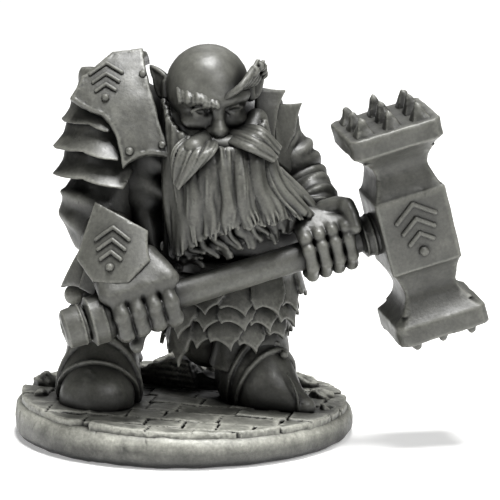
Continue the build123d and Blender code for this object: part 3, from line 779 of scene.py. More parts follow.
def back_armour():
    clay = Clay()
    shells = ((20.6, 5.6, 5.0), (18.0, 5.4, 4.4), (15.6, 5.0, 3.4))
    for i, (height, wide, tall) in enumerate(shells):
        dome = ball((1.6, 1.0, height), (wide + 0.25, 4.4 + 0.15 * (2 - i), tall))
        face = Axes((1.6, 0, height), (0, 1, 0))
        outline = bowed([(-wide * 0.8, 2.4), (wide * 0.8, 2.4), (wide * 0.72, -1.6), (0, -2.9),
                         (-wide * 0.72, -1.6)], [0.06, 0, 0.06, 0.06, 0])
        mask = leaf(Flat(face), outline, 14.0)
        clay.add(meet(shell(dome, 0.42), mask), 0.03)
        rim = [face.world(u, v) for u, v in outline + outline[:1]]
        bead = []
        for point in rim:
            depth = 1 - ((point[0] - 1.6) / (wide + 0.25)) ** 2 - ((point[2] - height) / tall) ** 2
            bead.append((point[0], 1.0 + (4.4 + 0.15 * (2 - i)) * math.sqrt(max(depth, 0.02)), point[2]))
        clay.add(rope(bead, 0.2), 0.06)
    spine = Axes((1.6, 0, 18), (0, 1, 0))
    for i in range(5):
        point = spine.world(0, 4.2 - 1.9 * i, 5.3 - 0.1 * i)
        clay.add(ball(point, (0.42, 0.34, 0.42)), 0.08)
    clay.roughen(0.02, 0.6, 19)
    place("back_plates", clay, "resin_armour", "backplate")

    collar = Clay()
    ring = Wrap(Axes((1.5, -0.7, 24.4), (0, 1, 0), (0, 0.15, 1)), 3.7, lambda v: 0.25 * v)
    half = 3.7 * math.radians(88)
    collar.add(leaf(ring, bowed([(-half, -0.9), (half, -0.9), (half * 0.9, 0.9), (-half * 0.9, 0.9)],
                                [0, 0, 0.03, 0]), 0.4, 0.18, 0.06))
    place("neck_collar", collar, "resin_armour", "gorget")


# ---- head ------------------------------------------------------------------------------------

HEAD = np.array((1.8, -3.5, 26.3))
HEAD_RADIUS = 3.05
HEAD_HEIGHT = 7.0                                # crown to chin; the lines below are heights up the face
LOOK = np.array((0.26, -0.91, -0.32))            # the way the head looks
FACE = Axes(HEAD + HEAD_RADIUS * LOOK, LOOK)     # the face's own frame, level with the head's centre
EYE_LINE = HEAD_RADIUS - HEAD_HEIGHT / 2         # half way down the head
NOSE_FOOT = HEAD_RADIUS - 0.75 * HEAD_HEIGHT     # three quarters down
CHIN = HEAD_RADIUS - HEAD_HEIGHT
BROW_LINE = EYE_LINE + 0.2 * HEAD_RADIUS
EYE_WIDTH = 0.4 * HEAD_RADIUS                    # the head is five eyes across


def on_face(line, spots):
    """Places on the face, each across it, up from the given line and out of it."""
    return [FACE.world(u, line + v, w) for u, v, w in spots]


def skull():
    """The bald head, its face on ordinary proportions and at rest."""
    clay = Clay(0.075)
    clay.add(ball(HEAD + (0, 0.1, 0), (HEAD_RADIUS, 3.3, 3.08)))
    clay.add(ball(FACE.world(0, CHIN + 2.0, -1.8), (2.1, 2.0, 2.0), FACE), 0.9)
    clay.add(rope([HEAD + (0, 1.6, -1.6), HEAD + (-0.2, 2.4, -4.2)], (2.3, 2.4)), 0.6)
    ridge = on_face(BROW_LINE, ((-2.2, 0.1, -1.0), (-1.1, 0.3, -0.2), (0, 0.1, 0.0), (1.1, 0.3, -0.2),
                                (2.2, 0.1, -1.0)))
    clay.add(rope(curve_points(ridge, 12), 0.36), 0.7)
    for side in (-1, 1):
        eye = side * EYE_WIDTH
        clay.cut(ball(FACE.world(eye, EYE_LINE, 0.0), (0.75, 0.42, 0.6), FACE), 0.25)
        clay.add(ball(FACE.world(eye, EYE_LINE, -0.58), 0.48), 0.04)
        for height in (0.34, -0.3):
            lid = on_face(EYE_LINE, ((eye - 0.5 * EYE_WIDTH, 0, -0.25), (eye, height, -0.1),
                                     (eye + 0.5 * EYE_WIDTH, 0, -0.45)))
            clay.add(rope(curve_points(lid, 7), 0.13), 0.08)
        clay.add(ball(FACE.world(side * 1.5, EYE_LINE - 1.0, -0.6), (0.95, 0.65, 0.8), FACE), 0.45)
        clay.add(ball(FACE.world(side * 0.5, NOSE_FOOT + 0.4, 0.45), (0.38, 0.33, 0.42), FACE), 0.15)
    bridge = [FACE.world(0, BROW_LINE, -0.05), FACE.world(0, EYE_LINE - 0.5, 0.3),
              FACE.world(0, NOSE_FOOT + 0.55, 0.75)]
    clay.add(rope(bridge, (0.34, 0.44, 0.62)), 0.25)
    clay.roughen(0.03, 0.9, 23).roughen(0.02, 0.3, 24)
    place("head_skin", clay, "resin_skin", "head")


def both_ears():
    clay = Clay(0.06)
    for side in (-1, 1):
        middle = 1.75 + (0 if side < 0 else 0.2)
        axes = Axes((middle + side * 3.25, -3.2, 26.4), (side * 0.45, -0.88, 0.1))
        outline = [(-0.55 * side, -1.25), (0.25 * side, -0.9), (0.75 * side, 0.35), (1.15 * side, 1.35),
                   (-0.1 * side, 0.95), (-0.75 * side, 0.3)][::side]
        clay.add(leaf(Flat(axes, (0.12, 0.05)), bowed(outline, [0.06]), 0.32, 0.16, 0.1, 0.1), 0.05)
        clay.add(rope([axes.world(-0.3 * side, -0.9, 0.1), axes.world(-0.35 * side, 0.2, 0.15)], 0.22), 0.15)
    place("ear_pair", clay, "resin_skin", "ears")


def strand(clay, points, thick, blend=0.05, thin_end=0.35, count=12):
    """A lock of hair that swells and then tapers to its end."""
    path = curve_points(points, count)
    share = np.linspace(0, 1, count)
    radii = thick * np.interp(share, (0, 0.25, 0.75, 1), (0.7, 1.0, 0.9, thin_end))
    clay.add(rope(path, radii), blend)


def brows():
    """Two rows of coarse hair over the eyes: one falls forward, the other sweeps up and out."""
    clay = Clay(0.06)
    dice = random.Random(5)
    arch = on_face(BROW_LINE, ((-2.6, 0.5, -1.3), (-1.4, 0.75, -0.3), (-0.3, 0.45, 0.1)))
    for root in curve_points(arch, 10):
        side = dice.uniform(-0.15, 0.15)
        end = root + FACE.x * side - FACE.y * dice.uniform(0.6, 0.85) + FACE.z * 0.3
        bend = (root + end) / 2 + FACE.z * 0.35
        strand(clay, [root - FACE.z * 0.3, bend, end], dice.uniform(0.2, 0.28), 0.04, 0.6, 8)
    arch = on_face(BROW_LINE, ((0.35, 0.4, 0.1), (1.3, 0.7, -0.3), (2.3, 0.6, -1.2)))
    sweep = on_face(BROW_LINE, ((1.9, 2.0, -0.2), (3.1, 2.6, -1.2), (3.6, 1.6, -1.8)))
    edge = curve_points(sweep, 12)
    for i, (root, end) in enumerate(zip(curve_points(arch, 12), edge)):
        bend = (root + end) / 2 + FACE.z * (0.35 + 0.12 * (i % 2))
        tip = end + np.array([dice.uniform(-0.2, 0.2) for _ in range(3)])
        strand(clay, [root, bend, tip], dice.uniform(0.18, 0.25), 0.04, 0.6, 10)
    for spot in edge[3::2]:
        curl = spot + FACE.z * 0.4 - FACE.y * 0.4
        strand(clay, [spot, (spot + curl) / 2 + FACE.x * 0.2, curl], 0.22, 0.03, 0.6, 6)
    place("brow_hair", clay, "resin_hair", "eyebrows")


def whisker_sheet(clay, top, lower, fan, thick, seed, wave=0.06, ragged=0.15, blend=0.04, sway=0.08,
                  locks=1, ridge=0.0, curl=0.0):
    """Strands from a line of roots to a line of ends, spread evenly, with wavy locks and a ragged hem."""
    dice = random.Random(seed)
    roots = curve_points(top, fan)
    middles = curve_points(lower[0], fan)
    ends = curve_points(lower[1], fan)
    for i in range(fan):
        jitter = [np.array([dice.uniform(-wave, wave) for _ in range(3)]) for _ in range(3)]
        end = ends[i] + jitter[2] + (0, 0, dice.uniform(-ragged, ragged))
        path = curve_points([roots[i] + jitter[0], middles[i] + jitter[1], end], 18)
        share = np.linspace(0, 1, 18)
        lock = locks * i / fan
        phase = 2.4 * math.floor(lock) + dice.uniform(-0.5, 0.5)
        path[:, 0] += sway * np.sin(phase + 8 * share) * share
        path[:, 1] += 0.6 * sway * np.cos(phase + 8 * share)
        path[:, 1] -= ridge * math.sin(math.pi * (lock % 1)) * np.interp(share, (0, 0.2, 1), (0.2, 1, 1))
        path[:, 1] -= curl * np.clip(share - 0.82, 0, 1) * dice.uniform(0, 5)
        radii = thick * dice.uniform(0.7, 1.3) * np.interp(share, (0, 0.25, 0.8, 1), (0.7, 1.0, 1.0, 0.6))
        clay.add(rope(path, radii), blend)


def moustaches():
    right = Clay(0.06)
    right.add(rope([FACE.world(-0.6, NOSE_FOOT - 0.2, 0.2), (0.9, -7.6, 22.4), (0.1, -7.4, 21.0),
                    (-0.3, -7.4, 20.2)], (0.7, 0.85, 0.5, 0.2)))
    whisker_sheet(right, on_face(NOSE_FOOT, ((-0.05, -0.1, 0.75), (-0.8, 0.1, 0.5), (-1.6, 0.1, 0.0))),
                  [[(2.2, -8.5, 22.3), (0.9, -8.6, 22.1), (-0.5, -7.5, 22.4)],
                   [(0.3, -8.2, 20.3), (-0.2, -8.0, 19.8), (-0.7, -7.6, 20.3)]],
                  19, 0.15, 31, 0.05, 0.15, 0.02, 0.05, 3, 0.15)
    place("moustache_right_hair", right, "resin_hair", "moustache_right")
    left = Clay(0.06)
    left.add(rope([FACE.world(0.8, NOSE_FOOT - 0.2, 0.2), (5.1, -7.2, 22.9), (6.0, -6.8, 22.3)],
                  (0.6, 0.7, 0.35)))
    whisker_sheet(left, on_face(NOSE_FOOT, ((0.05, -0.1, 0.75), (0.9, 0.2, 0.5), (1.9, 0.4, -0.2))),
                  [[(4.7, -8.3, 22.5), (5.2, -8.0, 22.9), (5.7, -7.0, 23.8)],
                   [(6.3, -7.6, 21.6), (6.7, -7.2, 21.7), (7.0, -6.4, 22.3)]],
                  15, 0.17, 32, 0.04, 0.12, 0.03, 0.05, 3, 0.12)
    place("moustache_left_hair", left, "resin_hair", "moustache_left")


BEARD_ROOTS = [(-1.3, -4.2, 25.3), (-0.9, -5.7, 24.1), (0.5, -6.9, 22.9), (2.2, -7.5, 22.4),
               (3.9, -7.6, 22.4), (5.2, -6.8, 22.9), (5.9, -5.6, 24.0)]
BEARD_MIDDLES = [(-1.1, -5.6, 20.0), (-0.5, -6.8, 19.6), (0.9, -7.6, 19.3), (2.6, -8.0, 19.2),
                 (4.2, -8.1, 19.2), (5.6, -7.5, 19.6), (6.8, -6.1, 20.2)]
BEARD_ENDS = [(-0.9, -6.6, 14.5), (-0.1, -7.2, 14.9), (1.1, -7.6, 15.8), (2.7, -7.9, 16.5), (4.6, -8.0, 17.0),
              (6.8, -7.4, 17.3), (9.4, -5.9, 17.5)]
UNDER_ENDS = [(-0.3, -6.0, 13.7), (0.8, -6.5, 14.1), (2.1, -6.8, 14.6), (3.6, -7.0, 15.0), (5.0, -6.8, 15.6),
              (6.9, -6.4, 16.1), (8.6, -5.4, 16.7)]


def pushed(points, depth):
    return [(x, y + depth, z) for x, y, z in points]


def beard_hair():
    clay = Clay(0.07)
    lines = [curve_points(line, 13) for line in (BEARD_ROOTS, BEARD_MIDDLES, BEARD_ENDS)]
    for top, middle, end in zip(*lines):
        inner = [((x - 2.6) * 0.82 + 2.6, y + depth, z + lift)
                 for (x, y, z), depth, lift in ((top, 1.2, 0), (middle, 1.15, 0), (end, 1.0, 0.9))]
        clay.add(limb(inner, (0.85, 0.7)), 0.4)
    whisker_sheet(clay, pushed(BEARD_ROOTS, 0.2), [pushed(BEARD_MIDDLES, 0.2), pushed(BEARD_ENDS, 0.15)],
                  50, 0.34, 41, 0.08, 0.18, 0.05, 0.16, 8, 0.4, 0.2)
    whisker_sheet(clay, BEARD_ROOTS, [BEARD_MIDDLES, BEARD_ENDS],
                  90, 0.14, 42, 0.10, 0.28, 0.03, 0.16, 8, 0.4, 0.3)
    place("beard_hair", clay, "resin_hair", "beard")
    under = Clay(0.08)
    whisker_sheet(under, pushed(BEARD_MIDDLES, 1.5), [pushed(BEARD_ENDS, 1.2), UNDER_ENDS],
                  22, 0.42, 43, 0.2, 0.45, 0.08, 0.15)
    whisker_sheet(under, pushed(BEARD_MIDDLES, 1.1), [pushed(BEARD_ENDS, 0.9), pushed(UNDER_ENDS, -0.2)],
                  20, 0.26, 44, 0.25, 0.5, 0.05, 0.2)
    place("beard_under", under, "resin_hair", "beard_underlayer")


# ---- shoulder armour -------------------------------------------------------------------------

PLATE = Axes((-3.4, -4.9, 25.0), (0.0, -0.84, 0.54))


def shoulder_plate():
    clay = Clay(0.075)
    surface = Flat(PLATE, (0.03, 0.03))
    outline = bowed([(-4.7, 0.9), (-3.9, 2.6), (-1.7, 4.6), (0.5, 4.9), (2.7, -3.8), (-0.85, -4.5),
                     (-1.3, -2.4), (-2.4, -0.6)], [0.03, 0.03, 0, 0.03, 0.16, 0, 0.05, -0.05])
    clay.add(leaf(surface, outline, 0.5, 0.17, 0.12))
    wing = Flat(Axes((-5.0, -0.2, 27.5), (-0.38, 0.25, 0.88), (0, 1, 0)), (0.06, 0.06))
    wing_outline = bowed([(-2.1, -2.2), (2.4, -2.0), (2.2, 2.2), (0, 3.0), (-1.8, 2.0)], [0.04])
    clay.add(leaf(wing, wing_outline, 0.45, 0.17, 0.1), 0.1)
    clay.roughen(0.04, 0.8, 51).roughen(0.025, 0.3, 50)
    place("shoulder_shield", clay, "resin_armour", "right_shoulder_plate")
    rivets = Clay(0.06)
    for u, v in ((0.55, 2.6), (2.0, -2.9), (-0.35, -3.4)):
        rivets.add(ball(surface.world(u, v, 0.3), (0.3, 0.3, 0.22), PLATE))
    place("shield_rivets", rivets, "resin_armour", "shoulder_rivets")
    mark = Clay(0.06)
    emblem(mark, surface, (-2.1, 2.7), 1.15, 0.3)
    place("shield_emblem", mark, "resin_armour", "plate_emblem")


def emblem(clay, surface, middle, size, lift):
    """A plain mark: nested chevrons over a round stud."""
    for i in range(3):
        half = size * (1 - 0.2 * i)
        low = middle[1] - 0.62 * size * i
        for side in (-1, 1):
            path = [surface.world(middle[0] + side * half * t, low + half * 0.75 * (1 - t), lift)
                    for t in np.linspace(0, 1, 5)]
            clay.add(rope(path, 0.13 * size), 0.02)
    clay.add(ball(surface.world(middle[0], middle[1] - 1.75 * size, lift), 0.26 * size))


LAMES = (((-4.7, -0.4, 25.7), 2.5, 0.7), ((-4.9, -1.1, 24.2), 2.7, 1.1), ((-5.1, -1.6, 22.3), 2.9, 1.3),
         ((-5.2, -2.1, 20.4), 2.9, 1.2))


def right_lames():
    """Overlapping bands down the upper arm, each swelling out to a sharp hollow edge."""
    fronts = (1.2, 2.0, 2.7, 3.0)
    for i, (spot, radius, flare) in enumerate(LAMES):
        axes = Axes(spot, (-0.62, -0.78, 0), (0.06, 0.12, 1), keep_up=True)
        surface = Wrap(axes, radius, lambda v, f=flare: f * (np.clip(1.2 - v, 0, 2.6) / 2.2) ** 1.6)
        front, back = fronts[i], -6.8
        outline = bowed([(front, 1.3), (front + 0.3, -0.3), (front - 0.4, -1.5), (0.6, -1.0), (-2.2, -0.9),
                         (-4.4, -1.2), (back, -0.8), (back, 1.3)], [0, 0.03, -0.06, -0.04, 0.05, 0.04, 0, 0])
        clay = Clay(0.08)
        clay.add(leaf(surface, outline, 0.5, 0.16, 0.06))
        swell = [(front - 0.3, 1.2), (front - 0.2, 0.5), (back, 0.5), (back, 1.2)]
        clay.add(leaf(surface, swell, 0.8, 0.0, 0.0, 0.3), 0.5)
        clay.roughen(0.05, 1.0, 52 + i).roughen(0.02, 0.4, 58)
        place(f"lame_right_{i + 1}", clay, "resin_armour", f"right_lame_{i + 1}")


def left_lames():
    fans = (((6.3, -2.4, 24.2), (0.30, -0.93, 0.2),
             [(-1.0, 2.0), (1.4, 1.6), (0.4, -0.8), (0.3, -2.6), (-1.2, -1.6)]),
            ((7.3, -1.8, 23.4), (0.55, -0.82, 0.2),
             [(-1.3, 1.6), (2.0, 1.3), (0.9, -0.9), (-0.3, -2.6), (-1.3, -1.6)]),
            ((7.7, -1.6, 22.0), (0.75, -0.65, 0.15),
             [(-1.4, 1.9), (1.5, 1.7), (1.7, -0.2), (-0.3, -2.4), (-1.5, -1.4)]))
    for i, (spot, out, outline) in enumerate(fans):
        clay = Clay(0.075)
        surface = Flat(Axes(spot, out), (0.08, 0.03))
        clay.add(leaf(surface, bowed(outline, [0.04, 0.08, 0.05, 0.03, 0.0]), 0.42, 0.16, 0.06))
        clay.roughen(0.02, 0.6, 53)
        place(f"lame_left_{i + 1}", clay, "resin_armour", f"left_lame_{i + 1}")


# ---- arms ------------------------------------------------------------------------------------

def folds_round(clay, path, radii, thick, seed, count, blend=0.3):
    """Soft cloth folds that run part of the way round a sleeve."""
    dice = random.Random(seed)
    for i in range(count):
        share = (i + 0.7) / (count + 0.5)
        fine = curve_points(path, 51)
        spot, ahead = fine[int(share * 50)], fine[min(int(share * 50) + 2, 50)]
        radius = np.interp(share, np.linspace(0, 1, len(radii)), radii)
        axes = Axes(spot, (-0.3, -1, 0), ahead - spot, keep_up=True)
        begin = dice.uniform(-150, -60)
        points = []
        for turn in np.linspace(math.radians(begin), math.radians(begin + dice.uniform(110, 190)), 12):
            points.append(axes.world(radius * math.sin(turn), 0.5 * math.sin(turn * 1.3 + i),
                                     radius * math.cos(turn)))
        clay.add(rope(points, np.interp(np.linspace(0, 1, 12), (0, 0.5, 1), (0.4, 1, 0.4)) * thick), blend)


def right_arm():
    clay = Clay()
    path = [(-3.4, -0.6, 24.0), (-4.8, -2.2, 21.0), (-5.6, -3.0, 17.8), (-5.7, -4.0, 15.6)]
    radii = [2.3, 2.4, 2.45, 2.0]
    clay.add(limb(path, radii, 10))
    clay.add(ball((-6.5, -2.7, 17.3), (2.4, 2.2, 2.7)), 0.8)
    for ridge in (((-8.7, -3.4, 18.6), (-7.4, -5.0, 18.4), (-5.6, -5.6, 17.6)),
                  ((-8.8, -3.0, 17.0), (-7.9, -4.6, 16.6), (-6.4, -5.4, 15.8)),
                  ((-8.0, -2.2, 15.2), (-7.4, -3.9, 14.9), (-6.6, -4.9, 14.4))):
        clay.add(limb(ridge, (0.15, 0.42, 0.2), 9), 0.7)
    clay.roughen(0.05, 0.9, 62)
    place("sleeve_right", clay, "resin_cloth", "right_sleeve")
    fore = Clay()
    path = [(-5.6, -4.4, 15.9), (-4.9, -6.4, 14.7), (-4.0, -7.6, 13.3)]
    fore.add(limb(path, (1.9, 1.95, 1.4)))
    folds_round(fore, path, [1.9, 1.9, 1.4], 0.35, 63, 3)
    fore.roughen(0.04, 0.7, 64)
    place("forearm_right", fore, "resin_cloth", "right_forearm")

    guard = Clay(0.07)
    surface = Flat(Axes((-4.6, -8.7, 15.7), (-0.12, -0.86, 0.50)), (0.10, 0.02))
    outline = [(-1.95, 3.35), (2.1, 1.2), (2.4, -1.0), (1.05, -2.8), (-1.6, -2.75), (-3.0, -0.9)]
    guard.add(leaf(surface, bowed(outline, [0.02, 0.05, 0, -0.06, 0, 0]), 0.5, 0.13, 0.12))
    guard.roughen(0.02, 0.6, 65)
    place("forearm_plate", guard, "resin_armour", "right_vambrace")
    mark = Clay(0.06)
    emblem(mark, surface, (-0.35, 0.3), 1.2, 0.3)
    place("forearm_emblem", mark, "resin_armour", "vambrace_emblem")
    wing = Clay(0.07)
    side = Flat(Axes((-7.5, -6.9, 13.7), (-0.70, -0.66, 0.25)), (0.05, 0.05))
    outline = bowed([(-1.6, -1.7), (0.8, -1.4), (1.3, 1.4), (0.2, 2.2)], [-0.06, 0, 0, -0.03])
    wing.add(leaf(side, outline, 0.42, 0.16, 0.05))
    wing.add(leaf(Flat(Axes((-6.6, -8.2, 12.9), (-0.5, -0.82, 0.1)), (0.05, 0)),
                  [(-0.9, -0.5), (0.6, -1.0), (0.7, 1.0), (-0.3, 1.3)], 0.4, 0.13, 0.05))
    place("cuff_wing", wing, "resin_armour", "right_cuff_flare")


HAMMER_CENTRE = np.array((16.4, -4.4, 16.5))
HAFT_AXIS = (0.946, 0.193, 0.261)
HEAD_AXIS = (-0.241, -0.122, 0.963)


class HammerAxes(Axes):
    """The hammer's frame: x along the haft, y into the depth and z along the head."""

    def __init__(self):
        self.origin = HAMMER_CENTRE
        self.x = np.array(HAFT_AXIS) / np.linalg.norm(HAFT_AXIS)
        self.y = np.cross(HEAD_AXIS, self.x)
        self.y /= np.linalg.norm(self.y)
        self.z = np.cross(self.x, self.y)


HAMMER = HammerAxes()
HAFT_RADIUS = 1.03
RIGHT_GRIP, LEFT_GRIP = -20.4, -5.9


def finger(clay, along, angles, reach, thick, sway=0.0, blend=0.08):
    """A finger bent round the haft through joints at the given angles above the front, in degrees."""
    joints = []
    for i, angle in enumerate(angles):
        turn = math.radians(angle)
        joints.append(HAMMER.world(along + sway * i, -reach * math.cos(turn), reach * math.sin(turn)))
    for i, (a, b) in enumerate(zip(joints, joints[1:])):
        clay.add(rope([a, (a + b) / 2, b], (thick, thick * 0.9, thick * 0.97)), blend)


def right_fist():
    clay = Clay(0.065)
    pitch = 1.2
    for i in range(4):
        along = RIGHT_GRIP - 1.5 * pitch + pitch * i
        finger(clay, along, (58, 8, -46, -95), 1.72, 0.64, 0.06, 0.1)
    knuckles = [HAMMER.world(RIGHT_GRIP + s, -1.0, 1.75) for s in (-2.2, 2.3)]
    wrist = [HAMMER.world(RIGHT_GRIP + s, 0.7, 3.1) for s in (-1.9, 1.3)]
    for share in np.linspace(0, 1, 7):
        a = knuckles[0] + (knuckles[1] - knuckles[0]) * share
        b = wrist[0] + (wrist[1] - wrist[0]) * share
        clay.add(rope([a, b], (0.74, 1.0)), 0.4)
    clay.add(rope([HAMMER.world(RIGHT_GRIP + s, -1.62, 1.95) for s in (-2.3, 2.2)], 0.13), 0.1)
    clay.add(ball(HAMMER.world(RIGHT_GRIP, 1.7, 0.2), (2.6, 1.2, 1.9), HAMMER), 0.5)
    clay.add(rope([HAMMER.world(RIGHT_GRIP + 0.4, 1.2, -1.2), HAMMER.world(RIGHT_GRIP - 0.8, 0.2, -2.0),
                   HAMMER.world(RIGHT_GRIP - 1.1, -0.3, -2.7)], (0.8, 0.66, 0.5)), 0.15)
    clay.cut(rope([HAMMER.world(-30, 0, 0), HAMMER.world(0, 0, 0)], HAFT_RADIUS - 0.02))
    clay.roughen(0.035, 0.6, 66).roughen(0.02, 0.25, 68)
    place("glove_right", clay, "resin_leather", "right_hand")


def left_fist():
    clay = Clay(0.06)
    pitch = 1.0
    for i in range(4):
        along = LEFT_GRIP - 0.45 - 1.5 * pitch + pitch * i
        finger(clay, along, (70, 25, -22, -68, -108), 1.55, 0.49, -0.03, 0.07)
        clay.add(ball(HAMMER.world(along, -1.05, 1.45), 0.5), 0.12)
    wrist = HAMMER.world(LEFT_GRIP - 1.5, 1.5, 2.3)
    for s in (-1.9, -0.9, 0.1, 1.1):
        clay.add(rope([HAMMER.world(LEFT_GRIP + s, -0.5, 1.65), wrist], (0.55, 1.05)), 0.35)
    thumb = ((0.2, 0.9, 2.6), (1.3, 0.3, 2.75), (1.75, -0.5, 2.3), (1.7, -1.3, 1.3))
    clay.add(limb([HAMMER.world(LEFT_GRIP + s, y, z) for s, y, z in thumb], (0.7, 0.5), 9), 0.15)
    clay.add(ball(HAMMER.world(LEFT_GRIP + 1.65, -0.25, 2.7), 0.62), 0.12)
    clay.add(ball(HAMMER.world(LEFT_GRIP, 1.6, 0.4), (2.0, 1.0, 1.7), HAMMER), 0.5)
    clay.cut(rope([HAMMER.world(-30, 0, 0), HAMMER.world(0, 0, 0)], HAFT_RADIUS - 0.02))
    clay.roughen(0.02, 0.6, 67)
    place("fist_left", clay, "resin_skin", "left_hand")


def left_arm():
    clay = Clay()
    path = [(5.2, 0.4, 23.2), (7.2, 0.2, 21.0), (8.5, 0.0, 19.0)]
    clay.add(limb(path, (2.3, 1.7)))
    folds_round(clay, path, [2.3, 2.0, 1.7], 0.42, 71, 6)
    clay.roughen(0.05, 0.8, 72)
    place("sleeve_left", clay, "resin_cloth", "left_sleeve_upper")
    cuff = Clay(0.08)
    ring = Axes((8.6, -0.1, 18.8), (0.45, -0.35, -0.8))
    points = [ring.world(1.55 * math.cos(t), 1.55 * math.sin(t)) for t in np.linspace(0, 2 * math.pi, 25)]
    cuff.add(rope(points, 0.5))
    cuff.add(rope([p + ring.z * 0.45 for p in points], 0.36), 0.12)
    cuff.roughen(0.04, 0.6, 73)
    place("cuff_left", cuff, "resin_cloth", "left_sleeve_cuff")
    fore = Clay()
    path = [(8.6, -0.2, 18.7), (9.6, -1.9, 17.6), (10.1, -3.9, 16.8)]
    fore.add(limb(path, (1.55, 1.75, 1.15)))
    folds_round(fore, path, [1.5, 1.7, 1.2], 0.3, 74, 4)
    fore.roughen(0.04, 0.7, 75)
    place("forearm_left", fore, "resin_cloth", "left_forearm")


def dagger():
    clay = Clay()
    path = [(-7.9, -2.6, 11.0), (-6.4, 0.6, 11.9), (-4.6, 3.0, 12.8)]
    clay.add(rope(curve_points(path, 9), 0.5))
    for i in range(6):
        share = 0.12 + 0.13 * i
        spot = curve_points(path, 101)[int(share * 100)]
        clay.add(ball(spot, 0.58), 0.1)
    clay.add(ball((-8.0, -3.0, 10.9), (0.7, 0.8, 0.75)), 0.1)
    clay.add(block(Axes((-4.4, 3.2, 12.9), (-0.6, -0.7, -0.2)), (0.4, 1.0, 0.35), 0.15), 0.05)
    place("dagger_hilt", clay, "resin_weapon", "hip_dagger")


# ---- hammer ----------------------------------------------------------------------------------

SLAB_HALF, SLAB_THICK, NECK_HALF, BLOCK_HALF, HEAD_HALF = 3.4, 1.4, 1.95, 2.65, 7.95
STUD_PITCH = 2.1


def head_half_width(z):
    """Half the square section of the hammer's head at each height along it."""
    slab_foot = HEAD_HALF - SLAB_THICK
    neck = slab_foot - 2.1
    shoulder = neck - 1.7
    up = np.abs(z)
    flare = NECK_HALF + (SLAB_HALF - NECK_HALF) * np.clip((up - neck) / 2.1, 0, 1) ** 1.9
    ease = BLOCK_HALF + (NECK_HALF - BLOCK_HALF) * np.clip((up - shoulder) / 1.7, 0, 1) ** 0.6
    return np.where(up > neck, flare, np.where(up > shoulder, ease, BLOCK_HALF))


def hammer():
    def distance(x, y, z):
        wide = head_half_width(z)
        soft = 0.12
        qx, qy = np.abs(x) - wide + soft, np.abs(y) - wide + soft
        qz = np.abs(z) - HEAD_HALF + soft + 0 * qx
        outside = np.sqrt(np.maximum(qx, 0) ** 2 + np.maximum(qy, 0) ** 2 + np.maximum(qz, 0) ** 2)
        corner = (np.abs(x) + np.abs(y)) / math.sqrt(2) - wide * math.sqrt(2) + 0.32
        corner = np.where(np.abs(z) > HEAD_HALF - SLAB_THICK - 0.6, corner, -9)
        box = outside + np.minimum(np.maximum(np.maximum(qx, qy), qz), 0) - soft
        return np.maximum(box, corner) * 0.8
    clay = Clay(0.09, HAMMER)
    clay.add(Form(distance, (-SLAB_HALF, -SLAB_HALF, -HEAD_HALF), (SLAB_HALF, SLAB_HALF, HEAD_HALF)))
    clay.roughen(0.03, 1.1, 81).roughen(0.015, 0.35, 82)
    place("hammer_block", clay, "resin_weapon", "hammer_head")

    for name, side, base, height in (("top", 1, 0.72, 1.3), ("bottom", -1, 0.6, 0.8)):
        studs = Clay(0.07, HAMMER)
        dice = random.Random(83)
        for column in (-1, 0, 1):
            for row in (-1, 0, 1):
                tall = height * dice.uniform(0.85, 1.1)
                foot = np.array((column * STUD_PITCH, row * STUD_PITCH, side * (HEAD_HALF - 0.1)))
                lean = np.array((dice.uniform(-0.12, 0.12), dice.uniform(-0.12, 0.12), 0))
                core = rope([foot, foot + lean + (0, 0, side * tall * 0.8)], (base * 0.9, 0.26))
                spike = fused([pyramid(foot, base, tall * 1.15, side), core], 0.25)
                studs.add(spike, 0.1)
        studs.roughen(0.06, 0.5, 84)
        place("studs_" + name, studs, "resin_weapon", "striking_studs_" + name)

    mark = Clay(0.06)
    face = Axes(HAMMER.world(0, -BLOCK_HALF, 0), -HAMMER.y, HAMMER.z)
    emblem(mark, Flat(face), (0.0, 1.05), 1.45, 0.05)
    place("hammer_mark", mark, "resin_weapon", "hammer_emblem")

    bar = Clay(0.08, HAMMER)
    bar.add(rope([(-25.2, 0, 0), (1.5, 0, 0)], HAFT_RADIUS))
    bar.roughen(0.035, 1.6, 85).roughen(0.02, 0.4, 86)
    place("haft_bar", bar, "resin_weapon", "haft")

    turned("pommel_cap", "pommel", [(-26.3, 1.1), (-26.1, 1.4), (-25.2, 1.48), (-24.6, 1.4)],
           [(-26.3, 0.45, 0.10), (-24.9, 1.45, 0.08)])
    turned("collar_rear", "haft_collar_rear", [(-24.5, 1.4), (-24.25, 1.78), (-23.4, 1.8), (-22.6, 1.45)],
           [(-24.2, 1.74, 0.10), (-23.3, 1.74, 0.10)])
    turned("collar_front", "haft_collar_front", [(-3.9, 1.15), (-3.6, 1.45), (-3.0, 1.5), (-2.6, 1.6)],
           [(-3.6, 1.42, 0.12), (-3.0, 1.5, 0.12)])
    turned("haft_tip", "haft_end_cap", [(2.4, 1.0), (2.8, 0.95), (3.0, 0.75), (3.1, 0.4)], [(2.7, 1.0, 0.08)])


def pyramid(foot, base, tall, side):
    """A four-sided spike, its foot's middle given, pointing along side of the z axis."""
    slope = math.hypot(base, tall)

    def distance(x, y, z):
        up = (z - foot[2]) * side
        wide = np.maximum(np.abs(x - foot[0]), np.abs(y - foot[1]))
        face = (wide * tall - base * (tall - up)) / slope
        return np.maximum(face, -up - 0.2)
    reach = np.array((base, base, tall))
    return Form(distance, np.array(foot) - reach, np.array(foot) + reach)


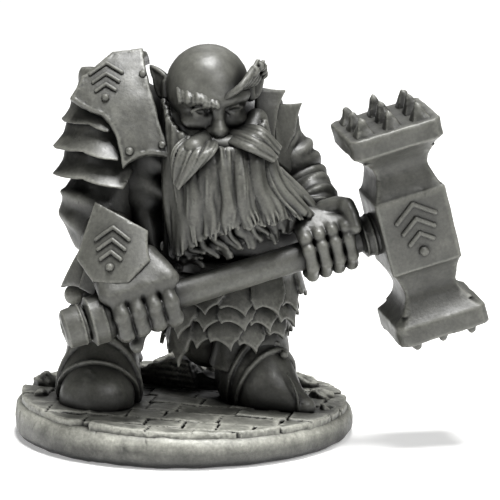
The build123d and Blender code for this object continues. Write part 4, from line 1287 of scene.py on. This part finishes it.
def turned(name, node, profile, beads):
    """A fitting turned on the haft: radius against distance along it, with raised beads."""
    xs = [p[0] for p in profile]
    rs = [p[1] for p in profile]

    def distance(x, y, z):
        r = np.hypot(y, z)
        side = (r - np.interp(x, xs, rs)) * 0.85
        return np.maximum(side, np.maximum(xs[0] - x, x - xs[-1]))
    clay = Clay(0.06, HAMMER)
    clay.add(Form(distance, (xs[0], -max(rs), -max(rs)), (xs[-1], max(rs), max(rs))))
    for along, radius, thick in beads:
        ring = [(along, radius * math.cos(t), radius * math.sin(t)) for t in np.linspace(0, 2 * math.pi, 25)]
        clay.add(rope(ring, thick), 0.05)
    clay.roughen(0.02, 0.6, 87)
    place(name, clay, "resin_weapon", node)


# ---- the whole figure ------------------------------------------------------------------------

def figure():
    plinth()
    paving()
    rubble()
    boot("right", -6.1, -1.6, -6, 2.75, ((1.05, 0.56), (0.9, 0.1)))
    boot("left", 5.6, -1.4, 40, 2.45, ((0.2, 0.4), (-0.8, 0.33)), ((7.3, -2.6, 6.3), (6.7, -2.1, 7.0)), True)
    legs()
    skirt()
    inner_robe()
    trunk()
    back_armour()
    skull()
    both_ears()
    brows()
    moustaches()
    beard_hair()
    shoulder_plate()
    right_lames()
    left_lames()
    right_arm()
    right_fist()
    left_fist()
    left_arm()
    dagger()
    hammer()


# ---- stage, light and camera -----------------------------------------------------------------

def stage():
    floor_mesh = bpy.data.meshes.new("floor")
    reach = 0.9
    corners = [(-reach, -reach, 0), (reach, -reach, 0), (reach, reach, 0), (-reach, reach, 0)]
    floor_mesh.from_pydata(corners, [], [(0, 1, 2, 3)])
    floor = bpy.data.objects.new("floor", floor_mesh)
    bpy.context.scene.collection.objects.link(floor)
    material = bpy.data.materials.new("floor_paper")
    material.use_nodes = True
    shader = material.node_tree.nodes["Principled BSDF"]
    shader.inputs["Base Color"].default_value = (0.86, 0.86, 0.85, 1)
    shader.inputs["Roughness"].default_value = 0.9
    shader.inputs["Emission Color"].default_value = (1, 1, 1, 1)
    shader.inputs["Emission Strength"].default_value = 0.3
    floor_mesh.materials.append(material)
    world = bpy.data.worlds.new("studio")
    bpy.context.scene.world = world
    world.use_nodes = True
    backdrop = world.node_tree.nodes["Background"]
    backdrop.inputs["Color"].default_value = (1, 1, 1, 1)
    backdrop.inputs["Strength"].default_value = 0.05


def lamp(name, spot, aim, size, power):
    light = bpy.data.lights.new(name, "AREA")
    light.shape = "DISK"
    light.size = size
    light.energy = power
    made = bpy.data.objects.new(name, light)
    bpy.context.scene.collection.objects.link(made)
    made.location = spot
    made.rotation_euler = (Vector(aim) - Vector(spot)).to_track_quat("-Z", "Y").to_euler()


CAMERA_RISE = math.radians(11)
CAMERA_AWAY = 0.300
SENSOR = 36.0
VIEW_WIDTH = 500 / 13.62 * MM          # what the frame takes in at the aim's distance


def camera():
    low, high = CAD_BOX
    aim_height = 0.464
    aim = Vector(((low[0] + high[0]) / 2 - 0.00003, 0, high[2] * aim_height))
    data = bpy.data.cameras.new("camera")
    made = bpy.data.objects.new("camera", data)
    bpy.context.scene.collection.objects.link(made)
    made.location = aim + Vector((0, -math.cos(CAMERA_RISE), math.sin(CAMERA_RISE))) * CAMERA_AWAY
    made.rotation_euler = (aim - made.location).to_track_quat("-Z", "Y").to_euler()
    data.sensor_width = SENSOR
    data.lens = SENSOR * CAMERA_AWAY / VIEW_WIDTH
    data.clip_start = 0.01
    data.clip_end = 10
    bpy.context.scene.camera = made


def lights():
    aim = (0.003, 0, 0.015)
    lamp("overhead", (0.03, -0.03, 0.30), aim, 0.12, 1.75)
    lamp("front_right", (0.17, -0.22, 0.24), aim, 0.08, 0.55)
    lamp("front_left", (-0.20, -0.22, 0.16), aim, 0.12, 0.10)
    lamp("back", (0.02, 0.26, 0.22), aim, 0.2, 0.12)
    view = bpy.context.scene.view_settings
    view.view_transform = "Standard"
    view.look = "None"


figure()
stage()
lights()
camera()
